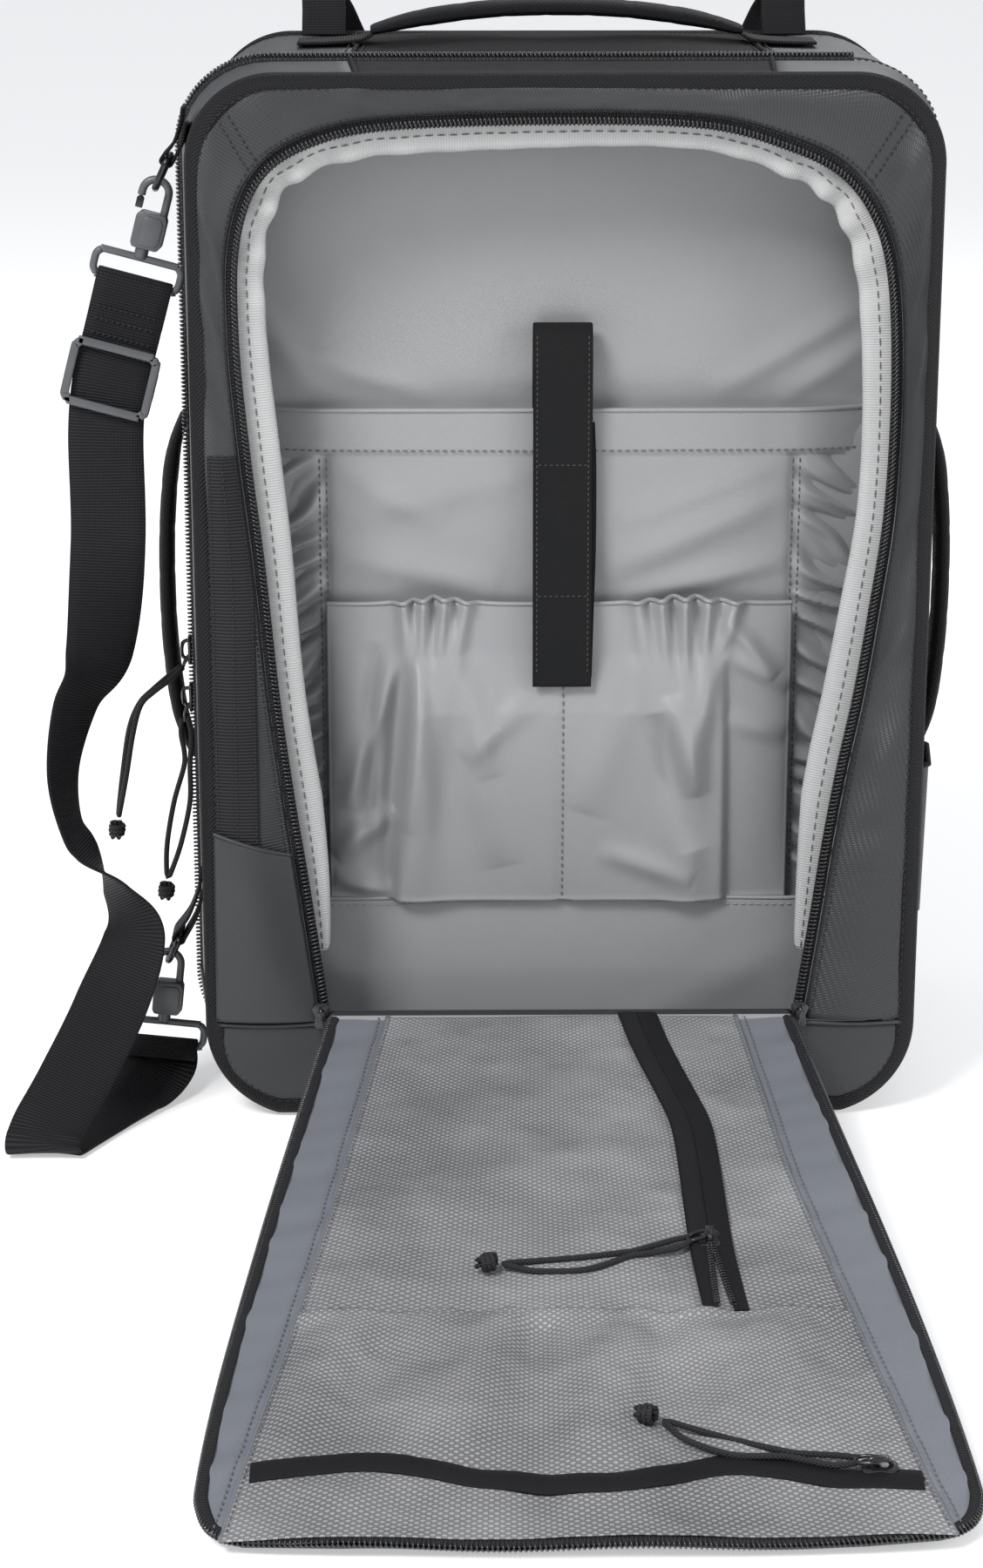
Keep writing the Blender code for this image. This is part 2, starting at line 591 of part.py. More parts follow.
def sling():
    """Detachable carrying strap, clipped at both ends to the left side and lying partly on the floor."""
    upper_bar = (UPPER_HOOK[0] + 0.0160 * math.sin(RING_LEAN), SLING_Y,
                 UPPER_HOOK[1] + 0.0023 + 0.0160 * math.cos(RING_LEAN))
    lower_bar = (LOWER_HOOK[0] + 0.0160 * math.sin(RING_LEAN), SLING_Y,
                 LOWER_HOOK[1] + 0.0023 + 0.0160 * math.cos(RING_LEAN))
    ring_tab("dring_tab_upper", upper_bar, -0.1850, 0.0180, 0.0200)
    ring_tab("dring_tab_lower", lower_bar, -0.1860, 0.0260, 0.0200)
    d_ring("dring_upper", upper_bar, RING_LEAN)
    d_ring("dring_lower", lower_bar, RING_LEAN)
    strap_hook("upper", (UPPER_HOOK[0], SLING_Y, UPPER_HOOK[1]), UPPER_TILT)
    strap_hook("lower", (LOWER_HOOK[0], SLING_Y, LOWER_HOOK[1]), LOWER_TILT)

    def below(hook, tilt, distance, forward=0.0):
        """A point down the hook's own line, and this far in front of it."""
        return (hook[0] - distance * math.sin(tilt), SLING_Y - forward, hook[1] - distance * math.cos(tilt))

    bar = -LOOP_LOW
    wrap = 0.0019 + SLING_THICK / 2 + 0.0007

    def round_bar(hook, tilt, first, last):
        """Points round a loop's lower bar; 0 degrees is in front of it and 90 is above."""
        turns = range(first, last - 1, -45)
        angles = [math.radians(turn) for turn in turns]
        return [below(hook, tilt, bar - wrap * math.sin(angle), wrap * math.cos(angle)) for angle in angles]

    level = (math.cos(UPPER_TILT), 0, -math.sin(UPPER_TILT))
    route = [below(UPPER_HOOK, UPPER_TILT, bar + 0.0200, -0.0008),
             below(UPPER_HOOK, UPPER_TILT, bar + 0.0100, -0.0022)]
    route += round_bar(UPPER_HOOK, UPPER_TILT, 180, 0)
    route += [below(UPPER_HOOK, UPPER_TILT, bar + down, ahead)
              for down, ahead in ((0.0100, 0.0024), (0.0200, 0.0020), (0.0300, 0.0026))]
    across = [level] * len(route)
    hanging = (
        (GLIDE_PLACE, level),
        ((-0.2278, -0.0735, 0.3520), (1, 0, -0.18)),
        ((-0.2282, -0.0760, 0.2975), (1, 0, -0.06)),
        ((-0.2345, -0.0780, 0.2390), (0.84, 0.50, 0)),
        ((-0.2470, -0.0810, 0.2130), (0.56, 0.83, 0)),
        ((-0.2540, -0.0850, 0.1800), (0.32, 0.95, 0)),
        ((-0.2510, -0.0880, 0.1520), (0.10, 1.00, 0.10)),
        ((-0.2430, -0.0900, 0.1380), (-0.10, 0.97, 0.25)),
        ((-0.2290, -0.0940, 0.1190), (-0.45, 0.80, -0.20)),
        ((-0.2190, -0.0990, 0.0960), (-0.85, 0.45, -0.20)),
        ((-0.2310, -0.1120, 0.0620), (-0.97, 0.10, 0.15)),
        ((-0.2470, -0.1350, 0.0330), (-1, 0, 0.06)),
        ((-0.2590, -0.1555, 0.0160), (-1, 0, 0)),
        ((-0.2618, -0.1640, 0.0105), (-1, 0, 0)),
        ((-0.2622, -0.1668, 0.0064), (-1, 0, 0)),
        ((-0.2615, -0.1645, 0.0033), (-1, 0, 0)),
        ((-0.2600, -0.1595, 0.0021), (-1, 0, 0)),
        ((-0.2540, -0.1480, 0.0019), (-1, 0.20, 0)),
        ((-0.2400, -0.1220, 0.0018), (-1, 0.35, 0)),
        ((-0.2240, -0.0980, 0.0048), (-1, 0.20, 0)),
    )
    flat = (-math.cos(LOWER_TILT), 0, math.sin(LOWER_TILT))
    route += [point for point, wide in hanging]
    across += [wide for point, wide in hanging]
    ending = [below(LOWER_HOOK, LOWER_TILT, bar + 0.0085, 0.0110)]
    ending += round_bar(LOWER_HOOK, LOWER_TILT, 270, 45)
    ending.append(below(LOWER_HOOK, LOWER_TILT, bar + 0.0030, 0.0115))
    route += ending
    across += [flat] * len(ending)
    strap("sling_webbing", route, across, SLING_WIDTH, SLING_THICK, WEBBING, 170)
    tri_glide()


def tri_glide():
    """Three-bar adjuster: two end bars in front of the webbing, the middle bar behind it."""
    half, tall, bar = 0.0226, 0.0175, 0.0045
    outer = rounded([(-half, -tall), (half, -tall), (half, tall), (-half, tall)], [0.006] * 4, 3)
    inner_half, inner_tall = half - 0.0022, tall - bar * 1.5
    inner = rounded([(-inner_half, -inner_tall), (inner_half, -inner_tall), (inner_half, inner_tall),
                     (-inner_half, inner_tall)], [0.003] * 4, 2)
    frame = plate("frame", [outer, inner], -0.0044, -0.0016, HARDWARE)
    rails = [block("rail", (low, -0.0044, -0.0070), (low + 0.0022, 0.0040, 0.0070), HARDWARE)
             for low in (-half, half - 0.0022)]
    middle = block("middle", (-half, 0.0014, -0.0030), (half, 0.0040, 0.0030), HARDWARE)
    glide = combine("tri_glide", frame, [*rails, middle], HARDWARE)
    place = Matrix.Translation(GLIDE_PLACE) @ Matrix.Rotation(UPPER_TILT, 4, "Y")
    glide.data.transform(place)
    hang([glide], pivot("tri_glide_axis", GLIDE_PLACE))


# ---------------------------------------------------------------- rear section

def rear_shell():
    """Main compartment: walls, boot, back panel, frame sheet, stay, base board and back pad."""
    gusset_and_boot("rear", SEAM + 0.0036, BACK - 2 * BINDING - GAP, BULGE, BACK_BULGE)
    plate("back_panel", [bag_outline(0.0005)], BACK - 2 * BINDING, BACK, TWILL)
    sheet = rounded([(-0.150, 0.030), (0.150, 0.030), (0.150, 0.500), (-0.150, 0.500)], [0.03] * 4)
    plate("frame_sheet", [sheet], BACK - 0.0095, BACK - 0.0080, BOARD)
    block("frame_stay", (-0.0125, BACK - 0.0128, 0.045), (0.0125, BACK - 0.0099, 0.485), STAY)
    block("base_board", (-0.132, SEAM + 0.006, WALL + 0.0005), (0.132, BACK - 0.015, WALL + 0.0030), BOARD)
    pad = rounded([(-0.120, 0.060), (0.120, 0.060), (0.130, 0.450), (-0.130, 0.450)], [0.03] * 4)
    plate("back_pad", [pad], BACK + GAP, BACK + 0.0100, FOAM)


def side_zip():
    """Two sliders meeting on the left side zip, each with a knotted cord pull."""
    pulls = (
        ("upper", SIDE_SLIDER_Z[0], 1,
         ((-0.1965, -0.0265, 0.2185), (-0.2030, -0.0275, 0.2130), (-0.2120, -0.0290, 0.2060),
          (-0.2190, -0.0300, 0.1990), (-0.2240, -0.0310, 0.1850), (-0.2280, -0.0325, 0.1620),
          (-0.2310, -0.0335, 0.1440), (-0.2318, -0.0338, 0.1385)),
         (0.3, -1.0, 0.0)),
        ("lower", SIDE_SLIDER_Z[1], -1,
         ((-0.1960, -0.0265, 0.1905), (-0.1955, -0.0270, 0.1820), (-0.1950, -0.0275, 0.1720),
          (-0.1955, -0.0280, 0.1640), (-0.1985, -0.0290, 0.1450), (-0.2030, -0.0300, 0.1230),
          (-0.2060, -0.0305, 0.1080), (-0.2068, -0.0306, 0.1030)),
         (1.0, -0.5, 0.2)),
    )
    spread = (0.0018, 0.0032, 0.0020, 0.0019, 0.0050, 0.0045, 0.0019, 0.0)
    for side, z, up, middle, aside in pulls:
        low, high = (z - 0.0065, z + 0.0065)
        body = block("body", (-0.1938, SEAM - 0.0048, low), (-0.1904, SEAM + 0.0048, high),
                     DARK_METAL, 0.0008)
        slider = named(body, "side_slider_" + side, DARK_METAL)
        cord = pull_cord("side_pull_" + side, doubled(middle, aside, spread))
        heading = (Vector(middle[-1]) - Vector(middle[-2])).normalized()
        tip = knot("side_pull_knot_" + side, Vector(middle[-1]) + heading * (CORD / 2 + KNOT + 0.0004))
        hang([slider, cord, tip], pivot("side_slider_%s_axis" % side, (-0.1920, SEAM, z)))


def handles():
    """Top grab handle and the two padded side handles."""
    y = TOP_HANDLE_Y
    route = [(-0.0960, y, HEIGHT + 0.0075), (-0.0700, y, HEIGHT + 0.0135), (-0.0350, y, HEIGHT + 0.0180),
             (0.0, y, HEIGHT + 0.0195), (0.0350, y, HEIGHT + 0.0180), (0.0700, y, HEIGHT + 0.0135),
             (0.0960, y, HEIGHT + 0.0075)]
    grip = strap("top_handle", route, [(0, 1, 0)] * 7, 0.0260, 0.0060, TWILL, 14)
    hang([grip], pivot("top_handle_axis", (0, y, HEIGHT + 0.0045)))
    for side, sign in (("left", -1), ("right", 1)):
        y = SIDE_HANDLE_Y
        route = [(sign * 0.1965, y, 0.1580), (sign * 0.2030, y, 0.1800), (sign * 0.2068, y, 0.2150),
                 (sign * 0.2078, y, 0.2500), (sign * 0.2068, y, 0.2850), (sign * 0.2030, y, 0.3200),
                 (sign * 0.1965, y, 0.3420)]
        grip = strap("side_handle_" + side, route, [(0, 1, 0)] * 7, 0.0260, 0.0060, TWILL, 14)
        hang([grip], pivot("side_handle_%s_axis" % side, (sign * 0.1960, y, 0.2500)))


def harness():
    """Padded shoulder straps with ladder locks and lower webbing, and the load lifters above them."""
    shape = [(0.033, 0.472), (0.093, 0.472), (0.122, 0.340), (0.146, 0.200), (0.142, 0.125), (0.108, 0.125),
             (0.100, 0.200), (0.056, 0.330)]
    radii = [0.012, 0.012, 0.15, 0.10, 0.012, 0.012, 0.10, 0.15]
    near = BACK + 0.0125
    for side, sign in (("left", -1), ("right", 1)):
        outline = [(sign * x, z) for x, z in rounded(shape, radii, 3)]
        pad = plate("shoulder_strap_" + side, [outline], near, near + 0.0120, FOAM)
        lock = block("lock", (sign * 0.125 - 0.015, near + 0.002, 0.0965),
                     (sign * 0.125 + 0.015, near + 0.008, 0.1245), HARDWARE, 0.0012)
        slots = [block("slot", (sign * 0.125 - 0.0115, near, low),
                       (sign * 0.125 + 0.0115, near + 0.02, low + 0.0035),
                       HARDWARE) for low in (0.1015, 0.1120)]
        lock = combine("ladder_lock_" + side, lock, slots, HARDWARE, "DIFFERENCE")
        route = [(sign * 0.1262, near + 0.0050, 0.0905), (sign * 0.1300, near + 0.0080, 0.0820),
                 (sign * 0.1370, near + 0.0070, 0.0600), (sign * 0.1440, near + 0.0010, 0.0400)]
        level = [(1, 0, 0), (1, 0, sign * 0.15), (1, 0, sign * 0.25), (1, 0, sign * 0.30)]
        tail = strap("strap_webbing_" + side, route, level, 0.0220, 0.0016, WEBBING, 12)
        hang([pad, lock, tail], pivot("shoulder_strap_%s_axis" % side, (sign * 0.063, near, 0.4745)))
        x = sign * 0.1220
        route = [(x, 0.0960, HEIGHT + 0.0006), (x, 0.0985, HEIGHT + 0.0120), (x, 0.1080, HEIGHT + 0.0205),
                 (x * 0.97, 0.1190, HEIGHT + 0.0120), (x * 0.90, 0.1260, HEIGHT - 0.0080),
                 (x * 0.80, 0.1285, HEIGHT - 0.0270), (x * 0.71, 0.1285, HEIGHT - 0.0420)]
        level = [(1, 0, 0)] * 4 + [(1, 0, sign * 0.25)] * 3
        strap("load_lifter_" + side, route, level, 0.0230, 0.0016, WEBBING, 22)


front_shell()
clamshell_coil("clamshell_coil_front", SEAM - 0.0017)
organiser()
front_zip()
flap()
sling()
rear_shell()
clamshell_coil("clamshell_coil_rear", SEAM + 0.0017)
side_zip()
handles()
harness()

for cutter in CUTTERS.objects:
    cutter.hide_render = True
    cutter.display_type = "WIRE"
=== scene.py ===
"""Travel backpack, standing with its organiser flap folded down in front of it.

The bag's main dimensions, its hinges and several fittings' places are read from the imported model.
The rest are written here in the same frame, in metres, +Z up and -Y to the front: lines repeated
from the CAD, and outlines drawn for the soft surfaces. Each piece moves with the body it is sewn to.
"""
import json
import math

import bmesh
import bpy
import numpy as np
from mathutils import Matrix, Vector


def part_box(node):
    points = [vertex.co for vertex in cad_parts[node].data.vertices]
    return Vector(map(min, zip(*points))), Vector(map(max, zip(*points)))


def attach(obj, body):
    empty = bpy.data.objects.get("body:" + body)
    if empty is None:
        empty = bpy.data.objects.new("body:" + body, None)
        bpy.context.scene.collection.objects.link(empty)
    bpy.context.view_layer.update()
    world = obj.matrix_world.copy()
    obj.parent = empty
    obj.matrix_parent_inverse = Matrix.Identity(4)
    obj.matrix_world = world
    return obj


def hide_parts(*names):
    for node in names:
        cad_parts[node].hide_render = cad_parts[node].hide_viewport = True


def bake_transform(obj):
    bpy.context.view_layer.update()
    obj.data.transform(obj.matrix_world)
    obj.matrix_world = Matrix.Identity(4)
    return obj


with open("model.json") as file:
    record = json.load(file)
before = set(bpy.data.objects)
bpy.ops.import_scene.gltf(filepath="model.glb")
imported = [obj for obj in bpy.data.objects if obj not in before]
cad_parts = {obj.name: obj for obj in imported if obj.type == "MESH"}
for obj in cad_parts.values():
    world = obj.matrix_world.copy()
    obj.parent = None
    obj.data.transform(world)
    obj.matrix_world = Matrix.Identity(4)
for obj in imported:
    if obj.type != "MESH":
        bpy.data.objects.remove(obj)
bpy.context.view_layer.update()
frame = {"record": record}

# ---------------------------------------------------------------- camera, floor and light
# A long lens a little above the bag, a pale seamless floor, and large soft lamps: one high and to
# the left as the key, one on the right as fill, and one behind for the edges of the dark cloth.

lens_data = bpy.data.cameras.new("studio_camera")
lens_data.sensor_width = 36.0
lens_data.lens = 79.23
lens_data.shift_y = -0.0124
lens_data.clip_start = 0.05
camera = bpy.data.objects.new("studio_camera", lens_data)
bpy.context.scene.collection.objects.link(camera)
camera.location = (-0.0546, -1.7729, 0.7026)
camera.rotation_euler = (math.radians(90.0 - 17.137), 0.0, math.radians(-0.659))
bpy.context.scene.camera = camera
bpy.context.scene.view_settings.view_transform = "Standard"

sky = bpy.data.worlds.new("studio_sky")
bpy.context.scene.world = sky
sky.use_nodes = True
sky.node_tree.nodes["Background"].inputs["Color"].default_value = (0.93, 0.95, 1.0, 1.0)
sky.node_tree.nodes["Background"].inputs["Strength"].default_value = 0.50

for lamp_name, place, aim, wide, power in (
        ("key", (-1.25, -1.7, 2.35), (0.0, -0.1, 0.25), 0.95, 66.0),
        ("fill", (1.9, -1.3, 1.0), (0.0, -0.1, 0.25), 1.0, 15.0),
        ("rim", (0.5, 2.0, 1.9), (0.0, 0.0, 0.35), 1.3, 12.0)):
    lamp_data = bpy.data.lights.new("lamp_" + lamp_name, "AREA")
    lamp_data.size = wide
    lamp_data.energy = power
    lamp = bpy.data.objects.new("lamp_" + lamp_name, lamp_data)
    lamp.location = place
    lamp.rotation_euler = (Vector(aim) - Vector(place)).to_track_quat("-Z", "Y").to_euler()
    bpy.context.scene.collection.objects.link(lamp)


class Value:
    """A shader socket that takes part in sums written in Python."""

    def __init__(self, finish, socket):
        self.finish = finish
        self.socket = socket

    def sum_of(self, operation, *terms):
        return self.finish.node("ShaderNodeMath", {"operation": operation}, dict(enumerate(terms)))

    def __add__(self, other):
        return self.sum_of("ADD", self, other)

    def __radd__(self, other):
        return self.sum_of("ADD", other, self)

    def __sub__(self, other):
        return self.sum_of("SUBTRACT", self, other)

    def __rsub__(self, other):
        return self.sum_of("SUBTRACT", other, self)

    def __mul__(self, other):
        return self.sum_of("MULTIPLY", self, other)

    def __rmul__(self, other):
        return self.sum_of("MULTIPLY", other, self)


class Finish:
    """A Principled material: constants are set on its own sockets, and what varies is fed in."""

    def __init__(self, name, colour, roughness, **constants):
        self.material = bpy.data.materials.new(name)
        self.material.use_nodes = True
        self.tree = self.material.node_tree
        self.shader = self.tree.nodes["Principled BSDF"]
        self.shader.inputs["Base Color"].default_value = (*colour, 1.0)
        self.shader.inputs["Roughness"].default_value = roughness
        for socket, value in constants.items():
            self.shader.inputs[socket.replace("_", " ").title().replace("Ior", "IOR")].default_value = value

    def node(self, kind, settings, sockets, out=0):
        made = self.tree.nodes.new(kind)
        for setting, value in settings.items():
            setattr(made, setting, value)
        for socket, value in sockets.items():
            if isinstance(value, Value):
                self.tree.links.new(value.socket, made.inputs[socket])
            else:
                made.inputs[socket].default_value = value
        return Value(self, made.outputs[out])

    def feed(self, socket, value):
        self.tree.links.new(value.socket, self.shader.inputs[socket])

    def cloth_axes(self):
        """The piece's own map, in metres: along the cloth and across it."""
        place = self.node("ShaderNodeTexCoord", {}, {}, "UV")
        split = self.node("ShaderNodeSeparateXYZ", {}, {0: place})
        return split, Value(self, split.socket.node.outputs[1])

    def clouds(self, scale, detail=3.0, rough=0.55):
        place = self.node("ShaderNodeTexCoord", {}, {}, "Object")
        return self.node("ShaderNodeTexNoise", {},
                         {"Vector": place, "Scale": scale, "Detail": detail, "Roughness": rough})

    def wave(self, distance, pitch):
        """0 to 1 and back once in each pitch."""
        turn = distance * (2.0 * math.pi / pitch)
        return self.node("ShaderNodeMath", {"operation": "SINE"}, {0: turn}) * 0.5 + 0.5

    def shade(self, factor, low, high):
        return self.node("ShaderNodeMix", {"data_type": "RGBA", "clamp_factor": True},
                         {0: factor, 6: (*low, 1.0), 7: (*high, 1.0)}, 2)

    def bump(self, height, distance):
        self.feed("Normal", self.node("ShaderNodeBump", {},
                                      {"Strength": 1.0, "Distance": distance, "Height": height}))


bpy.ops.object.select_all(action="DESELECT")
bpy.ops.mesh.primitive_grid_add(x_subdivisions=2, y_subdivisions=2, size=60.0, location=(0, 0, -0.0006))
floor = bpy.context.object
floor.name = "studio_floor"
paper = Finish("studio_paper", (0.86, 0.86, 0.86), 0.9, emission_color=(1.0, 1.0, 1.0, 1.0),
               emission_strength=0.42)
paper.feed("Roughness", paper.clouds(3.0) * 0.1 + 0.85)
floor.data.materials.append(paper.material)

# ---------------------------------------------------------------- cord pulls
# Each zip pull is one doubled 2.8 mm braided cord: out from the slider's eye, round inside an
# overhand knot, and back. It is larksheaded to the eye, so the two legs cross close to it.


def through(points, count, closed=False):
    """An evenly spaced smooth line of this many points through the given ones."""
    held = np.array(points, float)
    if closed:
        held = np.vstack([held[-1], held, held[:2]])
    else:
        held = np.vstack([2 * held[0] - held[1], held, 2 * held[-1] - held[-2]])
    fine = []
    for a, b, c, d in zip(held, held[1:], held[2:], held[3:]):
        for t in np.linspace(0.0, 1.0, 24, endpoint=False):
            fine.append(0.5 * (2 * b + (c - a) * t + (2 * a - 5 * b + 4 * c - d) * t * t
                               + (3 * b - a - 3 * c + d) * t ** 3))
    fine.append(held[-2])
    return at(np.array(fine), np.linspace(0.0, 1.0, count))


def at(line, share):
    """Points of a line at these shares of its length."""
    steps = np.linalg.norm(np.diff(line, axis=0), axis=1)
    run = np.concatenate([[0.0], np.cumsum(steps)])
    share = np.asarray(share, float) * run[-1]
    return np.stack([np.interp(share, run, line[:, k]) for k in range(line.shape[1])], axis=-1)


def length_of(line):
    return float(np.linalg.norm(np.diff(line, axis=0), axis=1).sum())


def give(piece, kind, **settings):
    """Adds a modifier and applies it."""
    bpy.ops.object.select_all(action="DESELECT")
    bpy.context.view_layer.objects.active = piece
    piece.select_set(True)
    made = piece.modifiers.new(kind.lower(), kind)
    for setting, value in settings.items():
        setattr(made, setting, value)
    bpy.ops.object.modifier_apply(modifier=made.name)
    return piece


def laid(name, along, across, surface, finish, thick=0.0, away=None, rolled="", offset=-1.0):
    """A sheet or roll made from a grid moved onto a surface. Its map is in metres.

    surface takes the shares along and across and gives points. away is a point that the outer
    face looks away from. rolled is "v" for a tube and "uv" for a ring."""
    bpy.ops.object.select_all(action="DESELECT")
    bpy.ops.mesh.primitive_grid_add(x_subdivisions=along, y_subdivisions=across, size=1.0,
                                    calc_uvs=True)
    piece = bpy.context.object
    piece.name = piece.data.name = name
    mesh = piece.data
    flat = np.empty(len(mesh.vertices) * 3)
    mesh.vertices.foreach_get("co", flat)
    u, v = flat.reshape(-1, 3)[:, 0] + 0.5, flat.reshape(-1, 3)[:, 1] + 0.5
    placed = np.asarray(surface(u, v), float)
    mesh.vertices.foreach_set("co", placed.ravel())
    middle = np.abs(v - v[np.argmin(np.abs(v - 0.5))]) < 1e-6
    row = placed[middle][np.argsort(u[middle])]
    column = np.abs(u - u[np.argmin(np.abs(u - 0.5))]) < 1e-6
    stack = placed[column][np.argsort(v[column])]
    chart = mesh.uv_layers[0].data
    flat = np.empty(len(chart) * 2)
    chart.foreach_get("uv", flat)
    flat = flat.reshape(-1, 2) * [length_of(row), length_of(stack)]
    chart.foreach_set("uv", flat.ravel())
    if rolled or away is not None:
        work = bmesh.new()
        work.from_mesh(mesh)
        if rolled:
            bmesh.ops.remove_doubles(work, verts=work.verts, dist=2e-6)
            if rolled == "v":
                rim = [edge for edge in work.edges if edge.is_boundary]
                bmesh.ops.holes_fill(work, edges=rim, sides=0)
            bmesh.ops.recalc_face_normals(work, faces=work.faces)
        elif sum(face.normal.dot(face.calc_center_median() - Vector(away)) for face in work.faces) < 0:
            bmesh.ops.reverse_faces(work, faces=work.faces)
        work.to_mesh(mesh)
        work.free()
    mesh.materials.append(finish.material)
    if thick:
        give(piece, "SOLIDIFY", thickness=thick, offset=offset)
    for face in mesh.polygons:
        face.use_smooth = True
    return piece


def turned_frames(line, closed=False):
    """Two directions across a line at each of its points, carried along it without twist."""
    if closed:
        ahead = np.roll(line, -1, axis=0) - np.roll(line, 1, axis=0)
        ahead[0] = ahead[-1] = line[1] - line[-2]
    else:
        ahead = np.gradient(line, axis=0)
    ahead /= np.linalg.norm(ahead, axis=1)[:, None]
    side = np.cross(ahead[0], (0.0, 0.0, 1.0) if abs(ahead[0][2]) < 0.8 else (0.0, 1.0, 0.0))
    sides = []
    for direction in ahead:
        side = side - direction * np.dot(side, direction)
        side /= np.linalg.norm(side)
        sides.append(side.copy())
    sides = np.array(sides)
    return sides, np.cross(ahead, sides)


def swept(name, line, profile, finish, sides=None, closed=False):
    """A closed outline swept along a line. sides gives the profile's first axis at each point."""
    line = np.asarray(line, float)
    if sides is None:
        first, second = turned_frames(line, closed)
    else:
        ahead = np.gradient(line, axis=0)
        first = np.asarray(sides, float)
        leaning = np.einsum("ij,ij->i", first, ahead) / np.einsum("ij,ij->i", ahead, ahead)
        first = first - ahead * leaning[:, None]
        first /= np.linalg.norm(first, axis=1)[:, None]
        second = np.cross(ahead, first)
        second /= np.linalg.norm(second, axis=1)[:, None]
    profile = np.asarray(profile, float)
    count, around = len(line) - 1, len(profile)

    def surface(u, v):
        i = np.rint(u * count).astype(int)
        j = np.rint(v * around).astype(int) % around
        return line[i] + first[i] * profile[j, :1] + second[i] * profile[j, 1:]

    return laid(name, count, around, surface, finish, rolled="uv" if closed else "v")


def ring_of(radius, corners=10):
    turn = np.arange(corners) * 2 * math.pi / corners
    return np.stack([radius * np.cos(turn), radius * np.sin(turn)], axis=1)


def joined(pieces, name):
    """One object of several."""
    bpy.ops.object.select_all(action="DESELECT")
    for piece in pieces:
        piece.select_set(True)
    bpy.context.view_layer.objects.active = pieces[0]
    if len(pieces) > 1:
        bpy.ops.object.join()
    pieces[0].name = pieces[0].data.name = name
    return pieces[0]


braid = Finish("braided_cord", (0.02, 0.02, 0.022), 0.6)
along, around = braid.cloth_axes()
crossed = braid.wave(along + around * 1.3, 0.0019) * braid.wave(along - around * 1.3, 0.0019)
braid.feed("Base Color", braid.shade(crossed, (0.006, 0.006, 0.007), (0.060, 0.061, 0.065)))
braid.feed("Roughness", 0.75 - crossed * 0.25)
braid.bump(crossed, 0.0006)

CORD_WIDE = 0.0028
joints = {joint["name"]: joint for joint in frame["record"]["behaviour"]["joints"]}
FLAP_TILT = math.radians(round(joints["flap_fold"]["range_deg"][1] - 90.0, 3))
HINGE = np.array(joints["flap_fold"]["pos_m"])


def on_flap(across, out, rise):
    """Points on the folded-down flap: across it, out from its fold, and up off its sheet."""
    across, out, rise = np.broadcast_arrays(across, out, rise)
    return np.stack([across, HINGE[1] - out * math.cos(FLAP_TILT) - rise * math.sin(FLAP_TILT),
                     HINGE[2] - out * math.sin(FLAP_TILT) + rise * math.cos(FLAP_TILT)], axis=-1)


def legs(middle, aside, spread):
    """Out along one leg, round at the knot, and back along the other."""
    aside = np.array(aside, float) / np.linalg.norm(aside)
    out = [np.array(point) + aside * wide for point, wide in zip(middle[:-1], spread)]
    back = [np.array(point) - aside * wide for point, wide in zip(middle[:-1], spread)]
    return out + [np.array(middle[-1])] + back[::-1]


def overhand(name, centre, heading, tails):
    """The pull's end knot: three turns of cord wound round the doubled legs, and its cut tails."""
    heading = Vector(heading).normalized()
    turn = heading.to_track_quat("Z", "X").to_matrix()
    wound = []
    for step in range(73):
        angle = step / 72 * 3 * 2 * math.pi
        swell = 0.0030 + 0.0004 * math.sin(step / 72 * math.pi)
        spot = Vector((swell * math.cos(angle), swell * math.sin(angle), -0.0030 + 0.0060 * step / 72))
        wound.append(Vector(centre) + turn @ spot)
    pieces = [swept("turns", through(wound, 110), ring_of(CORD_WIDE * 0.46, 8), braid)]
    for side in (-1.0, 1.0):
        run = [Vector(centre) + turn @ Vector((side * 0.0012, 0.0004, z)) for z in (-0.0045, 0.0, tails)]
        run.append(Vector(centre) + turn @ Vector((side * 0.0021, 0.0010, tails + 0.0012)))
        pieces.append(swept("tail", through(run, 14), ring_of(CORD_WIDE * 0.42, 8), braid))
    return joined(pieces, name)


pull_routes = {}
mesh_pulls = (("vertical", (0.0612, 0.0051, 0.2277), (-0.0400, 0.2530)),
              ("horizontal", (0.1180, 0.0071, 0.4090), (0.0248, 0.3756)))
for pull, place, end in mesh_pulls:
    heading = np.array([end[0] - place[0], end[1] - place[2]])
    reach = np.linalg.norm(heading)
    heading /= reach
    aside = np.array([heading[1], -heading[0]])
    lift = place[1] + CORD_WIDE / 2 + 0.0002
    shares = (0.0, 0.10, 0.28, 0.36, 0.60, 0.84, 0.955, 1.0)
    bows = (0.0, 0.0030, 0.0050, 0.0055, 0.0080, 0.0050, 0.0010, 0.0)
    run = reach - 0.0095 - 0.0052 - CORD_WIDE / 2 - 0.0006
    start = np.array([place[0], place[2]]) + heading * 0.0095
    middle = [start + heading * run * share + aside * bow for share, bow in zip(shares, bows)]
    spread = (0.0018, 0.0036, 0.0020, 0.0019, 0.0052, 0.0044, 0.0019, 0.0)
    route = [on_flap(x, v, lift) for x, v in legs(middle, aside, spread)]
    tip = start + heading * (run + CORD_WIDE / 2 + 0.0052 + 0.0004)
    pull_routes[pull] = ("mesh_slider_" + pull, "mesh_pull_" + pull, "mesh_pull_knot_" + pull, route,
                         on_flap(*tip, lift + 0.0024), on_flap(*tip, lift) - on_flap(*start, lift))
